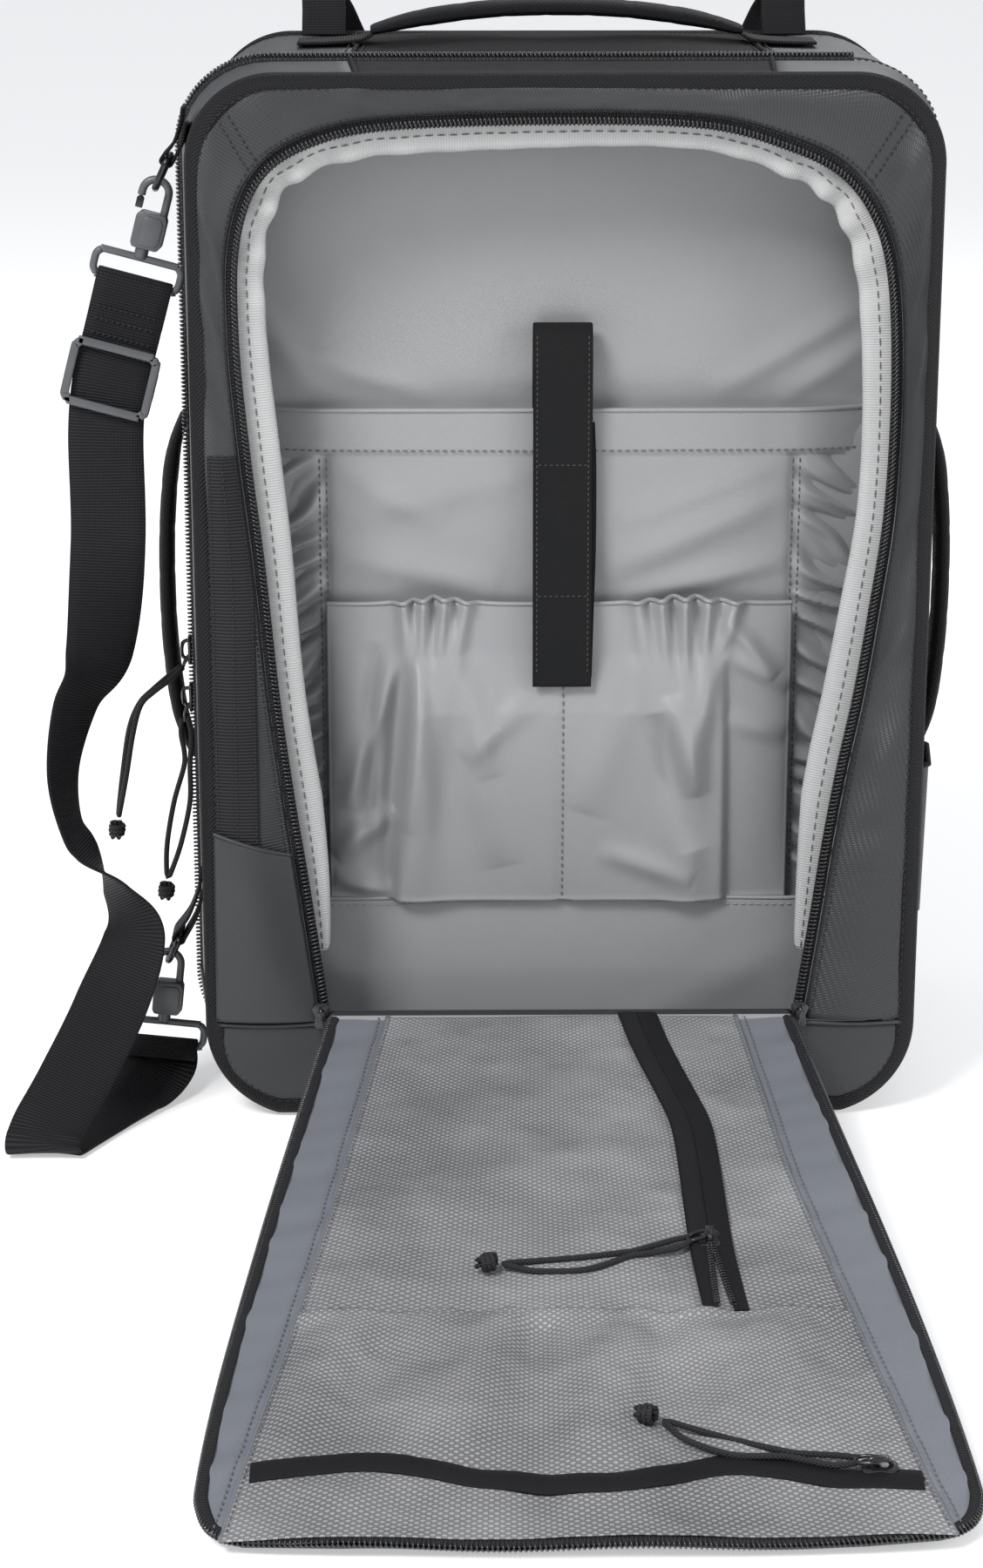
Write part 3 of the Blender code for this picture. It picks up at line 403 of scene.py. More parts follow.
side_pulls = (
    ("upper", ((-0.1965, -0.0265, 0.2185), (-0.2030, -0.0275, 0.2130), (-0.2120, -0.0290, 0.2060),
               (-0.2190, -0.0300, 0.1990), (-0.2240, -0.0310, 0.1850), (-0.2280, -0.0325, 0.1620),
               (-0.2310, -0.0335, 0.1440), (-0.2318, -0.0338, 0.1385)), (0.3, -1.0, 0.0)),
    ("lower", ((-0.1960, -0.0265, 0.1905), (-0.1955, -0.0270, 0.1820), (-0.1950, -0.0275, 0.1720),
               (-0.1955, -0.0280, 0.1640), (-0.1985, -0.0290, 0.1450), (-0.2030, -0.0300, 0.1230),
               (-0.2060, -0.0305, 0.1080), (-0.2068, -0.0306, 0.1030)), (1.0, -0.5, 0.2)))
for pull, middle, aside in side_pulls:
    spread = (0.0018, 0.0032, 0.0020, 0.0019, 0.0050, 0.0045, 0.0019, 0.0)
    heading = np.array(middle[-1]) - np.array(middle[-2])
    tip = np.array(middle[-1]) + heading / np.linalg.norm(heading) * (CORD_WIDE / 2 + 0.0052 + 0.0004)
    pull_routes["side_" + pull] = ("side_slider_" + pull, "side_pull_" + pull, "side_pull_knot_" + pull,
                                   legs(middle, aside, spread), tip, heading)
for body, cord_node, knot_node, route, tip, heading in pull_routes.values():
    line = through(route, 90)
    knot = overhand(knot_node.replace("pull_knot", "end_knot"), tip, heading, 0.0042)
    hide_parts(knot_node)
    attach(knot, body)
    pull = swept(cord_node.replace("pull", "cord"), line, ring_of(CORD_WIDE / 2, 10), braid)
    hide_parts(cord_node)
    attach(pull, body)
    "hanging" if "side" in cord_node else "loose"

# ---------------------------------------------------------------- front section: the fabric box
# Foam-backed walls in polymer-coated twill round a shallow box, with a heavier boot at the base and
# black twill across the top. Everything is cut to one rounded outline and bound together at the front.


def rounded_loop(half, low, high, low_radius, high_radius):
    """A dense rounded outline in x and z, from the bottom middle up the left side and round."""
    corners = ((-half + low_radius, low + low_radius, low_radius, 270),
               (-half + high_radius, high - high_radius, high_radius, 180),
               (half - high_radius, high - high_radius, high_radius, 90),
               (half - low_radius, low + low_radius, low_radius, 0))
    points = [(0.0, low)]
    for x, z, radius, start in corners:
        for step in range(25):
            turn = math.radians(start - 90.0 * step / 24)
            points.append((x + radius * math.cos(turn), z + radius * math.sin(turn)))
    points.append((0.0, low))
    return at(np.array(points), np.linspace(0.0, 1.0, 1600))


def edge_of(node, end, axis):
    """One face of a CAD node's box: end 0 is its low side and 1 its high side."""
    return round(float(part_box(node)[end][axis]), 4)


PANEL_INSET = 0.0005
HALF = round(edge_of("back_panel", 1, 0) + PANEL_INSET, 4)
TALL = edge_of("front_gusset", 1, 2)
BOOT_TOP = edge_of("front_gusset", 0, 2)
LOW_RADIUS, HIGH_RADIUS = 0.050, 0.042
FRONT, BACK = edge_of("front_panel", 0, 1), edge_of("back_panel", 1, 1)
SEAM = joints["front_section_swing"]["pos_m"][1]
bag_line = rounded_loop(HALF, 0.0, TALL, LOW_RADIUS, HIGH_RADIUS)
bag_out = np.gradient(bag_line, axis=0)
bag_out = np.stack([-bag_out[:, 1], bag_out[:, 0]], axis=1)
bag_out /= np.linalg.norm(bag_out, axis=1)[:, None]
shares = np.linspace(0.0, 1.0, len(bag_line))
left_half = shares < 0.5
BOOT_SHARE = float(np.interp(BOOT_TOP, bag_line[left_half, 1], shares[left_half]))


def swell(y):
    """How much wider the walls stand than the front panel: they belly out to the middle seam."""
    return np.interp(y, (FRONT, -0.1026, -0.0286, -0.0214, 0.1026, BACK),
                     (1.0, 1.0, 1.05, 1.05, 1.012, 1.0))


def on_wall(share, y, out):
    """Points on the side of the bag: round its outline, back from the front, and out from it."""
    share = np.asarray(share, float)
    x, z = (np.interp(share, shares, bag_line[:, k]) for k in (0, 1))
    dx, dz = (np.interp(share, shares, bag_out[:, k]) for k in (0, 1))
    return np.stack([x * swell(y) + dx * out, y + 0.0 * x, z + dz * out], axis=-1)


def share_at(z, side):
    """The outline's share at a height on the left (-1) or right (1) side."""
    found = float(np.interp(z, bag_line[left_half, 1], shares[left_half]))
    return found if side < 0 else 1.0 - found


TOP_LEFT = float(np.interp(-0.100, bag_line[(shares > 0.3) & (shares < 0.7), 0],
                           shares[(shares > 0.3) & (shares < 0.7)]))


def ripples(first, second, seeds):
    """A smooth, repeatable unevenness of cloth, about -1 to 1, made of a few long waves."""
    total = np.zeros(np.broadcast(first, second).shape)
    for order, seed in enumerate(seeds):
        a, b = math.cos(seed * 2.4), math.sin(seed * 2.4)
        pitch = 0.13 / (1.0 + 0.55 * order)
        total = total + np.sin((first * a + second * b) * 2 * math.pi / pitch + seed * 1.7) / (1.0 + 0.6
            * order)
    return total / len(seeds)


def twill(name, low, high, rough, pitch, depth, lean=1.0, crumple=60.0, **constants):
    """Cloth with diagonal ribs: the coated shell is smooth and satin, the trim is matt."""
    made = Finish(name, low, rough, **constants)
    along, across = made.cloth_axes()
    rib = made.wave(along * lean + across, pitch)
    yarn = made.wave(along * 1.0 - across * 0.35, pitch * 0.83)
    cloud = made.clouds(9.0, 4.0)
    made.feed("Base Color", made.shade(rib * 0.45 + yarn * 0.15 + cloud * 0.55 - 0.08, low, high))
    made.feed("Roughness", cloud * 0.22 + (rough - 0.11))
    fold = made.clouds(13.0, 2.0, 0.4) - 0.5
    made.bump(rib + yarn * 0.4 + cloud * 1.6 - fold * fold * crumple, depth)
    return made


coated = twill("coated_twill", (0.014, 0.0155, 0.017), (0.040, 0.0425, 0.045), 0.40, 0.0016, 0.00018,
               specular_ior_level=0.5)
coated_boot = twill("coated_boot", (0.019, 0.0205, 0.0215), (0.039, 0.0415, 0.0425), 0.40, 0.0011, 0.00006)
plain_black = twill("black_twill", (0.004, 0.004, 0.0045), (0.013, 0.013, 0.014), 0.72, 0.0012, 0.0003,
                    specular_ior_level=0.22)
lining = twill("grey_lining", (0.275, 0.277, 0.282), (0.350, 0.352, 0.357), 0.38, 0.0009, 0.00010)

thread_black = Finish("black_thread", (0.012, 0.012, 0.013), 0.6)
thread_black.feed("Roughness", thread_black.clouds(900.0) * 0.3 + 0.45)
thread_grey = Finish("grey_thread", (0.14, 0.14, 0.145), 0.6)
thread_grey.feed("Roughness", thread_grey.clouds(900.0) * 0.3 + 0.45)
thread_light = Finish("light_thread", (0.34, 0.34, 0.345), 0.6)
thread_light.feed("Roughness", thread_light.clouds(900.0) * 0.3 + 0.45)


def stitched(name, rows, finish, pitch=0.0036, share=0.68, wide=0.00042):
    """Rows of lockstitch: a small rounded length of thread for each stitch, all in one mesh."""
    bpy.ops.object.select_all(action="DESELECT")
    bpy.ops.mesh.primitive_uv_sphere_add(segments=6, ring_count=4, radius=1.0)
    bead = bpy.context.object
    corners = np.array([vertex.co for vertex in bead.data.vertices])
    faces = sorted(list(face.vertices) for face in bead.data.polygons)
    bpy.data.objects.remove(bead)
    points, sides = [], []
    for row in rows:
        line = np.asarray(row, float)
        count = max(1, int(length_of(line) / pitch))
        middles = (np.arange(count) + 0.5) / count
        spots = at(line, middles)
        before, after = np.maximum(0.0, middles - 0.2 / count), np.minimum(1.0, middles + 0.2 / count)
        ahead = at(line, after) - at(line, before)
        for spot, direction in zip(spots, ahead):
            turn = np.array(Vector(direction).to_track_quat("Z", "Y").to_matrix())
            local = corners * [wide, wide, pitch * share / 2]
            base = len(points) * len(corners)
            points.append(local @ turn.T + spot)
            sides += [[base + index for index in face] for face in faces]
    mesh = bpy.data.meshes.new(name)
    mesh.from_pydata(np.concatenate(points).tolist(), [], sides)
    mesh.materials.append(finish.material)
    piece = bpy.data.objects.new(name, mesh)
    bpy.context.scene.collection.objects.link(piece)
    return piece


def wall_cloth(name, first, last, front, back, out, finish, seeds, relief=0.0009, thick=0.0012,
               dome=0.0):
    """One panel of wall cloth, a little uneven between its seams, and domed where it is stuffed."""
    columns = max(12, int((last - first) * 1.35 / 0.006))

    def surface(u, v):
        share, y = first + (last - first) * u, front + (back - front) * v
        loose = np.sin(np.pi * v) * np.clip(np.minimum(u, 1 - u) * 14, 0, 1)
        full = dome * np.sin(np.pi * v) ** 0.7 * np.sin(np.pi * np.clip(u, 0, 1)) ** 0.6
        return on_wall(share, y, out + full + relief * loose * (ripples(share * 1.38, y, seeds) - 0.3))

    return laid(name, columns, 18, surface, finish, thick=thick, away=(0, (front + back) / 2, TALL / 2))


def dress(piece, body, nodes=()):
    """Puts a finished piece on its body."""
    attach(piece, body)
    if nodes:
        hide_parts(*nodes)
    return piece


def cloth(piece):
    """Hands the piece back unchanged."""
    return piece


FRONT_BACK = edge_of("front_gusset", 1, 1)
walls = (
    ("front_wall_left", BOOT_SHARE, TOP_LEFT, coated, (1, 5, 9), "coated_twill"),
    ("front_wall_top", TOP_LEFT, 1 - TOP_LEFT, plain_black, (3, 6, 8), "black_twill"),
    ("front_wall_right", 1 - TOP_LEFT, 1 - BOOT_SHARE, coated, (2, 4, 7), "coated_twill"),
)
for name, first, last, finish, seeds, slot in walls:
    wall = wall_cloth(name, first, last, -0.1062, FRONT_BACK, 0.0, finish, seeds)
    dress(cloth(wall), "front_section",
          ("front_gusset",) if name == "front_wall_left" else ())
for name, first, last in (("front_boot_left", 0.0, BOOT_SHARE), ("front_boot_right", 1 - BOOT_SHARE, 1.0)):
    boot = wall_cloth(name, first, last, -0.1062, FRONT_BACK, -0.0002, coated_boot, (2, 3, 5), relief=0.0)
    dress(boot, "front_section", ("front_boot",) if name == "front_boot_left" else ())
inner = wall_cloth("front_wall_lining", 0.0005, 0.9995, -0.1055, FRONT_BACK - 0.001, -0.0040, lining,
                   (4, 7, 11),
                   relief=0.0016, thick=0.0006)
dress(cloth(inner), "front_section")


def wall_row(first, last, y, out=0.0004):
    share = np.linspace(first, last, 400)
    return on_wall(share, y + 0 * share, out)


boot_rows = []
for side in (-1, 1):
    share = share_at(0.0555, side)
    y = np.linspace(-0.104, FRONT_BACK - 0.002, 60)
    boot_rows.append(on_wall(share + 0 * y, y, 0.0004))
dress(stitched("front_wall_stitching", boot_rows + [wall_row(BOOT_SHARE, 1 - BOOT_SHARE,
                                                             FRONT_BACK - 0.0055),
                                                    wall_row(BOOT_SHARE, 1 - BOOT_SHARE, -0.1010)],
               thread_black), "front_section")

# The seam of each wall with its boot is a small rolled edge that stands over the boot.
for side, name in ((-1, "left"), (1, "right")):
    y = np.linspace(-0.1065, FRONT_BACK, 40)
    roll = swept("front_boot_seam_" + name, on_wall(share_at(0.0515, side) + 0 * y, y, -0.0003),
                 ring_of(0.0011, 8), coated_boot)
    dress(roll, "front_section")

# ---------------------------------------------------------------- front panel
# The face of the bag round its U-shaped opening: coated twill in mitred lengths, with a strip of
# black grosgrain down the left side and a slip pocket under it, all on thin foam.

LEFT_EDGE = ((-0.1190, 0.053), (-0.1236, 0.087), (-0.1300, 0.134), (-0.1350, 0.168), (-0.1422, 0.226),
             (-0.1482, 0.293),
             (-0.1545, 0.350), (-0.1588, 0.405), (-0.1575, 0.452), (-0.1456, 0.4835), (-0.1215, 0.4995),
             (-0.083, 0.5075),
             (0.0, 0.5100))
RIGHT_EDGE = ((0.0, 0.5100), (0.066, 0.5080), (0.104, 0.4985), (0.132, 0.4850), (0.1490, 0.4630),
              (0.1575, 0.4320),
              (0.1605, 0.380), (0.1590, 0.320), (0.1530, 0.270), (0.1465, 0.225), (0.1395, 0.188),
              (0.1335, 0.150),
              (0.1275, 0.105), (0.1200, 0.053))
mouth = through(LEFT_EDGE + RIGHT_EDGE[1:], 1200)
mouth_out = np.gradient(mouth, axis=0)
mouth_out = np.stack([-mouth_out[:, 1], mouth_out[:, 0]], axis=1)
mouth_out /= np.linalg.norm(mouth_out, axis=1)[:, None]
mouth_shares = np.linspace(0.0, 1.0, len(mouth))
MOUTH_LONG = length_of(mouth)


def on_mouth(share, out, y):
    """Points round the opening's zip line: along it, out from it in the panel, at a depth."""
    share = np.asarray(share, float)
    x, z = (np.interp(share, mouth_shares, mouth[:, k]) for k in (0, 1))
    dx, dz = (np.interp(share, mouth_shares, mouth_out[:, k]) for k in (0, 1))
    return np.stack([x + dx * out, y + 0 * x, z + dz * out], axis=-1)


# Marks that pair a place on the mouth with a place on the bag's outline, foot to foot.
corner_l, corner_r = 0.383, 0.617
corner_l = float(mouth_shares[np.argmin(np.abs(mouth[:, 0] + 0.1445) + np.abs(mouth[:, 1] - 0.4845))])
corner_r = float(mouth_shares[np.argmin(np.abs(mouth[:, 0] - 0.1400) + np.abs(mouth[:, 1] - 0.4780))])
round_l, round_r = share_at(TALL - HIGH_RADIUS, -1), share_at(TALL - HIGH_RADIUS, 1)
bend = (np.pi * HIGH_RADIUS / 4) / length_of(bag_line)
pairs_in = (0.0, corner_l, 0.5, corner_r, 1.0)
pairs_out = (share_at(0.053, -1), round_l + bend, 0.5, round_r - bend, share_at(0.053, 1))


def on_panel(share, v, lift=0.0):
    """Points of the front panel: round it from the left foot, out from the zip to the binding."""
    inner = on_mouth(share, 0.0052, FRONT)
    outer_share = np.interp(share, pairs_in, pairs_out)
    outer = on_wall(outer_share, FRONT + 0 * outer_share, -0.0030)
    v = np.asarray(v, float)[..., None]
    spot = inner * (1 - v) + outer * v
    spot[..., 1] = FRONT - lift
    return spot


def panel_lift(share, v):
    """The padded belly of the panel, with a valley along each mitre and loose ripples by the sides."""
    x_z = on_panel(share, v)
    belly = np.sin(np.pi * np.clip(v, 0.0, 1.0)) ** 0.7
    mitre = np.exp(-((share - corner_l) / 0.008) ** 2) + np.exp(-((share - corner_r) / 0.008) ** 2)
    loose = ripples(x_z[..., 0] * 0.8, x_z[..., 2] * 1.2, (2, 5, 8, 11))
    puckers = sum(deep * np.exp(-((share - place) / wide) ** 2) * np.exp(-((v - near) / 0.42) ** 2)
                  for place, wide, deep, near in (
                      (0.462, 0.0042, 0.0022, 0.1), (0.476, 0.0032, -0.0016, 0.2),
                      (0.513, 0.0040, 0.0020, 0.0),
                      (0.530, 0.0036, -0.0014, 0.2), (0.566, 0.0050, 0.0012, 0.4),
                      (0.425, 0.0060, 0.0012, 0.6),
                      (0.335, 0.0060, 0.0018, 0.5), (0.318, 0.0050, -0.0016, 0.4),
                      (0.300, 0.0080, 0.0022, 0.6),
                      (0.268, 0.0070, -0.0018, 0.5), (0.640, 0.0060, 0.0018, 0.5),
                      (0.664, 0.0050, -0.0014, 0.4),
                      (0.690, 0.0060, 0.0018, 0.3), (0.725, 0.0090, 0.0022, 0.6),
                      (0.790, 0.0100, -0.0020, 0.5),
                      (0.835, 0.0070, 0.0020, 0.4), (0.880, 0.0100, 0.0016, 0.6),
                      (0.915, 0.0070, -0.0014, 0.5)))
    return 0.0004 + belly * (0.0034 + 0.0022 * loose + puckers) * (1 - 0.75 * np.clip(mitre, 0, 1))


def panel_surface(u, v):
    return on_panel(u, v, panel_lift(u, v))


panel = laid("front_panel_cloth", 340, 16, panel_surface, coated, thick=0.0014, away=(0, 0, 0.27))
dress(cloth(panel), "front_section", ("front_panel",))


def front_boot_surface(u, v):
    z = 0.0030 + v * 0.0475
    low = HALF - 0.0030 - LOW_RADIUS + np.sqrt(np.clip(LOW_RADIUS ** 2 - np.clip(LOW_RADIUS - z, 0,
        1) ** 2, 0, 1))
    x = (2 * u - 1) * np.minimum(low, HALF - 0.0030)
    lift = 0.0006 + 0.0016 * np.sin(np.pi * v) ** 0.6 + 0.0004 * ripples(x, z, (3, 6)) * np.sin(np.pi * v)
    return np.stack([x, FRONT - lift, z], axis=-1)


front_boot = laid("front_boot_panel", 150, 14, front_boot_surface, coated_boot, thick=0.0014,
                  away=(0, 0, 0.03))
dress(cloth(front_boot), "front_section")
for side, name in ((-1, "left"), (1, "right")):
    line = [(side * 0.1765, FRONT - 0.0012, 0.0505), (side * 0.150, FRONT - 0.0022, 0.0500),
            (side * 0.1200, FRONT - 0.0014, 0.0510)]
    dress(swept("front_boot_roll_" + name, through(line, 30), ring_of(0.0012, 8), coated_boot),
          "front_section")

mitre_rows = []
for middle in (corner_l, corner_r):
    for gap in (-0.0026, 0.0026):
        v = np.linspace(0.05, 0.92, 60)
        share = middle + gap / MOUTH_LONG + 0 * v
        mitre_rows.append(panel_surface(share, v) + [0, -0.0003, 0])
share = np.linspace(0.005, 0.995, 1500)
mitre_rows.append(panel_surface(share, 0.07 + 0 * share) + [0, -0.0003, 0])
x = np.linspace(-0.172, 0.172, 300)
dress(stitched("front_panel_stitching", mitre_rows, thread_black, pitch=0.0030), "front_section")

grosgrain = Finish("black_grosgrain", (0.005, 0.005, 0.006), 0.70, specular_ior_level=0.22)
along, across = grosgrain.cloth_axes()
rib = grosgrain.wave(along, 0.0017)
grosgrain.feed("Base Color", grosgrain.shade(rib * 0.8 + grosgrain.clouds(14.0) * 0.3,
                                             (0.007, 0.007, 0.008), (0.030, 0.030, 0.032)))
grosgrain.feed("Roughness", 0.82 - rib * 0.2)
grosgrain.bump(rib, 0.0004)


def strip_edges(z):
    """The grosgrain strip runs from beside the binding to the zip's tape."""
    left = np.interp(z, (0.05, 0.15, 0.35), (-0.1755, -0.1748, -0.1748))
    share = np.interp(z, mouth[mouth_shares < 0.3, 1], mouth_shares[mouth_shares < 0.3])
    right = np.minimum(on_mouth(share, 0.0052, FRONT)[..., 0], -0.1520)
    return left, right, share


def panel_depth(x, z):
    """How far the front panel's cloth stands forward at a place on its left side."""
    left, right, share = strip_edges(z)
    right = on_mouth(share, 0.0052, FRONT)[..., 0]
    v = np.clip((x - right) / (left - 0.003 - right), 0, 1)
    return panel_lift(share, v)


def strip_surface(u, v):
    z = 0.349 - u * 0.2100
    left, right, share = strip_edges(z)
    x = left + (right - 0.0006 - left) * v
    return np.stack([x, FRONT - panel_depth(x, z) - 0.0012 - 0.0004 * np.sin(v * math.pi), z], axis=-1)


strip = laid("grosgrain_strip", 90, 16, strip_surface, grosgrain, thick=0.0009, away=(-0.15, 0, 0.25))
dress(cloth(strip), "front_section")
rows = []
for v in (0.06, 0.50, 0.93):
    u = np.linspace(0.01, 0.97, 200)
    rows.append(strip_surface(u, v + 0 * u) + [0, -0.0003, 0])
dress(stitched("grosgrain_stitching", rows, thread_black), "front_section")


def slip_surface(u, v):
    left, right, share = strip_edges(np.full_like(u, 0.150))
    z_top = 0.1545 - 0.0115 * u
    z = z_top + (0.0530 - z_top) * v
    left, right, share = strip_edges(z)
    right = on_mouth(share, 0.0052, FRONT)[..., 0]
    x = left - 0.0015 + (right - 0.0004 - left + 0.0015) * u
    puff = 0.0026 * np.sin(math.pi * np.clip(u, 0, 1)) * np.sin(math.pi * np.clip(v * 0.9 + 0.08, 0,
        1)) ** 0.5
    return np.stack([x, FRONT - panel_depth(x, z) - 0.0022 - puff, z], axis=-1)


slip = laid("slip_pocket", 24, 40, slip_surface, coated_boot, thick=0.0012, away=(-0.15, 0, 0.1))
dress(cloth(slip), "front_section")
u = np.linspace(0, 1, 40)
hem = swept("slip_pocket_hem", slip_surface(u, 0 * u) + [0, 0.0002, 0], ring_of(0.0011, 8), coated_boot)
dress(hem, "front_section")

# Bound edge: folded black twill tape over the raw edges all round the face, 9 mm wide in front.
share = np.linspace(0.0, 1.0, 1400)
bind_line = on_wall(share, FRONT + 0.0028 + 0 * share, -0.0021)
bind_line[:, 2] = np.maximum(bind_line[:, 2], 0.0044)
bind_side = on_wall(share, FRONT + 0.0028 + 0 * share, 0.01) - bind_line
bind_side[:, 1] = 0
fold = [(-0.0056, 0.0042), (-0.0030, 0.0052), (0.0002, 0.0054), (0.0026, 0.0044), (0.0038, 0.0022),
        (0.0038, -0.0014),
        (0.0026, -0.0034), (0.0002, -0.0040), (-0.0030, -0.0020), (-0.0058, 0.0018)]
binding_cloth = twill("binding_twill", (0.003, 0.003, 0.0035), (0.018, 0.018, 0.020), 0.66, 0.0021, 0.0006,
                      lean=0.9,
                      specular_ior_level=0.28)
binding = swept("front_edge_binding", bind_line, fold, binding_cloth, sides=bind_side, closed=True)
dress(binding, "front_section", ("front_binding",))
bind_rows = []
for inward, forward in ((-0.0040, 0.0050),):
    bind_rows.append(bind_line + bind_side / np.linalg.norm(bind_side, axis=1)[:, None] * inward + [0,
        -forward, 0])
dress(stitched("binding_stitching", bind_rows, thread_black, pitch=0.0042), "front_section")

# ---------------------------------------------------------------- front zip, panel half
# A nylon coil zip sewn round the opening: black tape, the coil of one continuous monofilament, and
# inside it a light grey ribbed tape that finishes the edge and turns back into the compartment.

tape_black = grosgrain
nylon = Finish("coil_nylon", (0.006, 0.006, 0.007), 0.22, coat_weight=0.5, coat_roughness=0.12)
nylon.feed("Roughness", nylon.clouds(400.0) * 0.2 + 0.24)
nylon.feed("Base Color", nylon.shade(nylon.clouds(60.0), (0.005, 0.005, 0.006), (0.022, 0.022, 0.024)))

facing = Finish("ribbed_facing", (0.46, 0.46, 0.46), 0.75)
along, across = facing.cloth_axes()
rib = facing.wave(along, 0.0013)
cloud = facing.clouds(30.0)
facing.feed("Base Color", facing.shade(rib * 0.35 + cloud * 0.6, (0.40, 0.40, 0.398), (0.56, 0.56, 0.556)))
facing.feed("Roughness", 0.85 - rib * 0.15)
facing.bump(rib + cloud * 0.8, 0.00022)


def coil_of(name, line, outward, pitch=0.0021, half=0.0021, tall=0.0014, wire=0.00052):
    """One half of a coil zip: a flattened spiral of monofilament laid along the edge of its tape."""
    turns = int(length_of(line) / pitch)
    share = np.linspace(0, 1, turns * 7 + 1)
    middle = at(line, share)
    out = at(outward, share)
    out /= np.linalg.norm(out, axis=1)[:, None]
    ahead = np.gradient(middle, axis=0)
    up = np.cross(ahead, out)
    up /= np.linalg.norm(up, axis=1)[:, None]
    angle = share * turns * 2 * math.pi
    spiral = middle + out * (half * np.cos(angle))[:, None] + up * (tall * np.sin(angle))[:, None]
    return swept(name, spiral, ring_of(wire, 5), nylon)


share = np.linspace(0.0, 1.0, 1600)
zip_line = on_mouth(share, 0.0012, FRONT - 0.0010 + 0 * share)
zip_out = on_mouth(share, 0.01, FRONT + 0 * share) - on_mouth(share, 0.0, FRONT + 0 * share)
coil = coil_of("front_zip_teeth", zip_line, zip_out)
dress(coil, "front_section", ("front_zip_coil",))


def tape_surface(u, v):
    out = -0.0006 + 0.0054 * v
    return on_mouth(u, out, FRONT + 0.0006 + 0.0004 * np.sin(v * math.pi))


dress(laid("front_zip_tape", 420, 4, tape_surface, tape_black, thick=0.0006, away=(0, 0, 0.27)),
      "front_section")

FACING_START, FACING_END = 0.030, 0.970


def facing_surface(u, v):
    """The light tape: pulled flat on the straight sides, puckered where it turns the corners."""
    share = FACING_START + (FACING_END - FACING_START) * u
    tight = np.exp(-((share - corner_l) / 0.045) ** 2) + np.exp(-((share - corner_r) / 0.045) ** 2)
    over = 0.25 + 0.75 * np.exp(-((share - 0.5) / 0.10) ** 2)
    puck = np.sin(share * MOUTH_LONG / 0.0135 * math.pi + 0.8 * np.sin(share * 40))
    puck = puck * v ** 0.8 * (0.0030 * tight + 0.0003 * over)
    foot = 0.35 + 0.65 * np.clip(np.minimum(u, 1 - u) / 0.075, 0, 1) ** 0.7
    wide = (0.0132 - 0.0016 * over + 0.0008 * np.sin(share * 31)) * foot
    out = 0.0008 - wide * 1.16 * v + puck * 0.35
    back = 0.0056 + 0.0010 * over + 0.0012 * v ** 2 + 0.0026 * np.clip(v - 0.80, 0, 1) ** 1.3 * 6 + puck
    return on_mouth(share, out, FRONT + back)


facing_tape = laid("front_zip_facing_tape", 620, 14, facing_surface, facing, thick=0.0008,
                   away=(0, 0, 0.27))
dress(facing_tape, "front_section", ("front_zip_facing",))
u = np.linspace(0.0, 1.0, 1500)
rows = [facing_surface(u, 0.42 + 0 * u) + [0, -0.0003, 0],
        facing_surface(u, 0.04 + 0 * u) + [0, -0.0003, 0]]
dress(stitched("facing_stitching", rows[:1], thread_grey, pitch=0.0058, share=0.72, wide=0.00040),
      "front_section")

# ---------------------------------------------------------------- organiser, on the front section's divider
# Grey nylon over a foam divider. A document sleeve with a folded hem crosses it; its sides are
# gathered into the corners outside two stitched columns. A pleated pocket is sewn to its front.


def round_half(z, half, low, high, low_radius, high_radius):
    """Half the width of a rounded outline at a height."""
    z = np.asarray(z, float)
    foot = np.clip(low + low_radius - z, 0, low_radius)
    head = np.clip(z - (high - high_radius), 0, high_radius)
    return (half - low_radius + np.sqrt(np.clip(low_radius ** 2 - foot ** 2, 0, 1))
            - high_radius + np.sqrt(np.clip(high_radius ** 2 - head ** 2, 0, 1)))


def crease(x, z, start, end, wide, deep):
    """One soft fold: a ridge along a line that fades at both ends."""
    start, end = np.array(start), np.array(end)
    span = end - start
    long = float(np.hypot(*span))
    along = ((x - start[0]) * span[0] + (z - start[1]) * span[1]) / long
    off = (-(x - start[0]) * span[1] + (z - start[1]) * span[0]) / long
    fade = np.clip(along / long, 0, 1)
    inside = np.sin(math.pi * fade) ** 0.7 * ((along > 0) & (along < long))
    return deep * inside * np.exp(-(off / wide) ** 2)


silk = twill("organiser_nylon", (0.262, 0.266, 0.272), (0.345, 0.350, 0.356), 0.34, 0.0010, 0.00007,
             crumple=150.0,
             specular_ior_level=0.6)
DIVIDER_FRONT = edge_of("divider_panel", 0, 1)


def divider_surface(u, v):
    z = 0.0046 + 0.5226 * v
    half = round_half(z, 0.1755, 0.0045, 0.5275, 0.046, 0.040)
    x = (2 * u - 1) * half
    inside = np.clip(np.minimum(half - np.abs(x), 0.5275 - z) / 0.045, 0, 1)
    puff = 0.0060 * np.sin(inside * math.pi / 2)
    fold = crease(x, z, (-0.150, 0.395), (-0.060, 0.364), 0.006, 0.0016) + crease(x, z, (0.075, 0.366),
        (0.160, 0.415), 0.006, 0.0018)
    fold = fold + crease(x, z, (-0.168, 0.43), (-0.120, 0.362), 0.008, 0.0016) + crease(x, z,
        (0.11, 0.362), (0.168, 0.40), 0.005, 0.0012)
    pull = -0.0022 * np.exp(-((x - 0.001) / 0.035) ** 2 - ((z - 0.402) / 0.020) ** 2)
    pull = pull - 0.0035 * np.exp(-((z - 0.362) / 0.010) ** 2)
    return np.stack([x, DIVIDER_FRONT - puff - fold * 1.5 - pull + 0.0006 * ripples(x, z, (2, 7, 9)), z],
                    axis=-1)


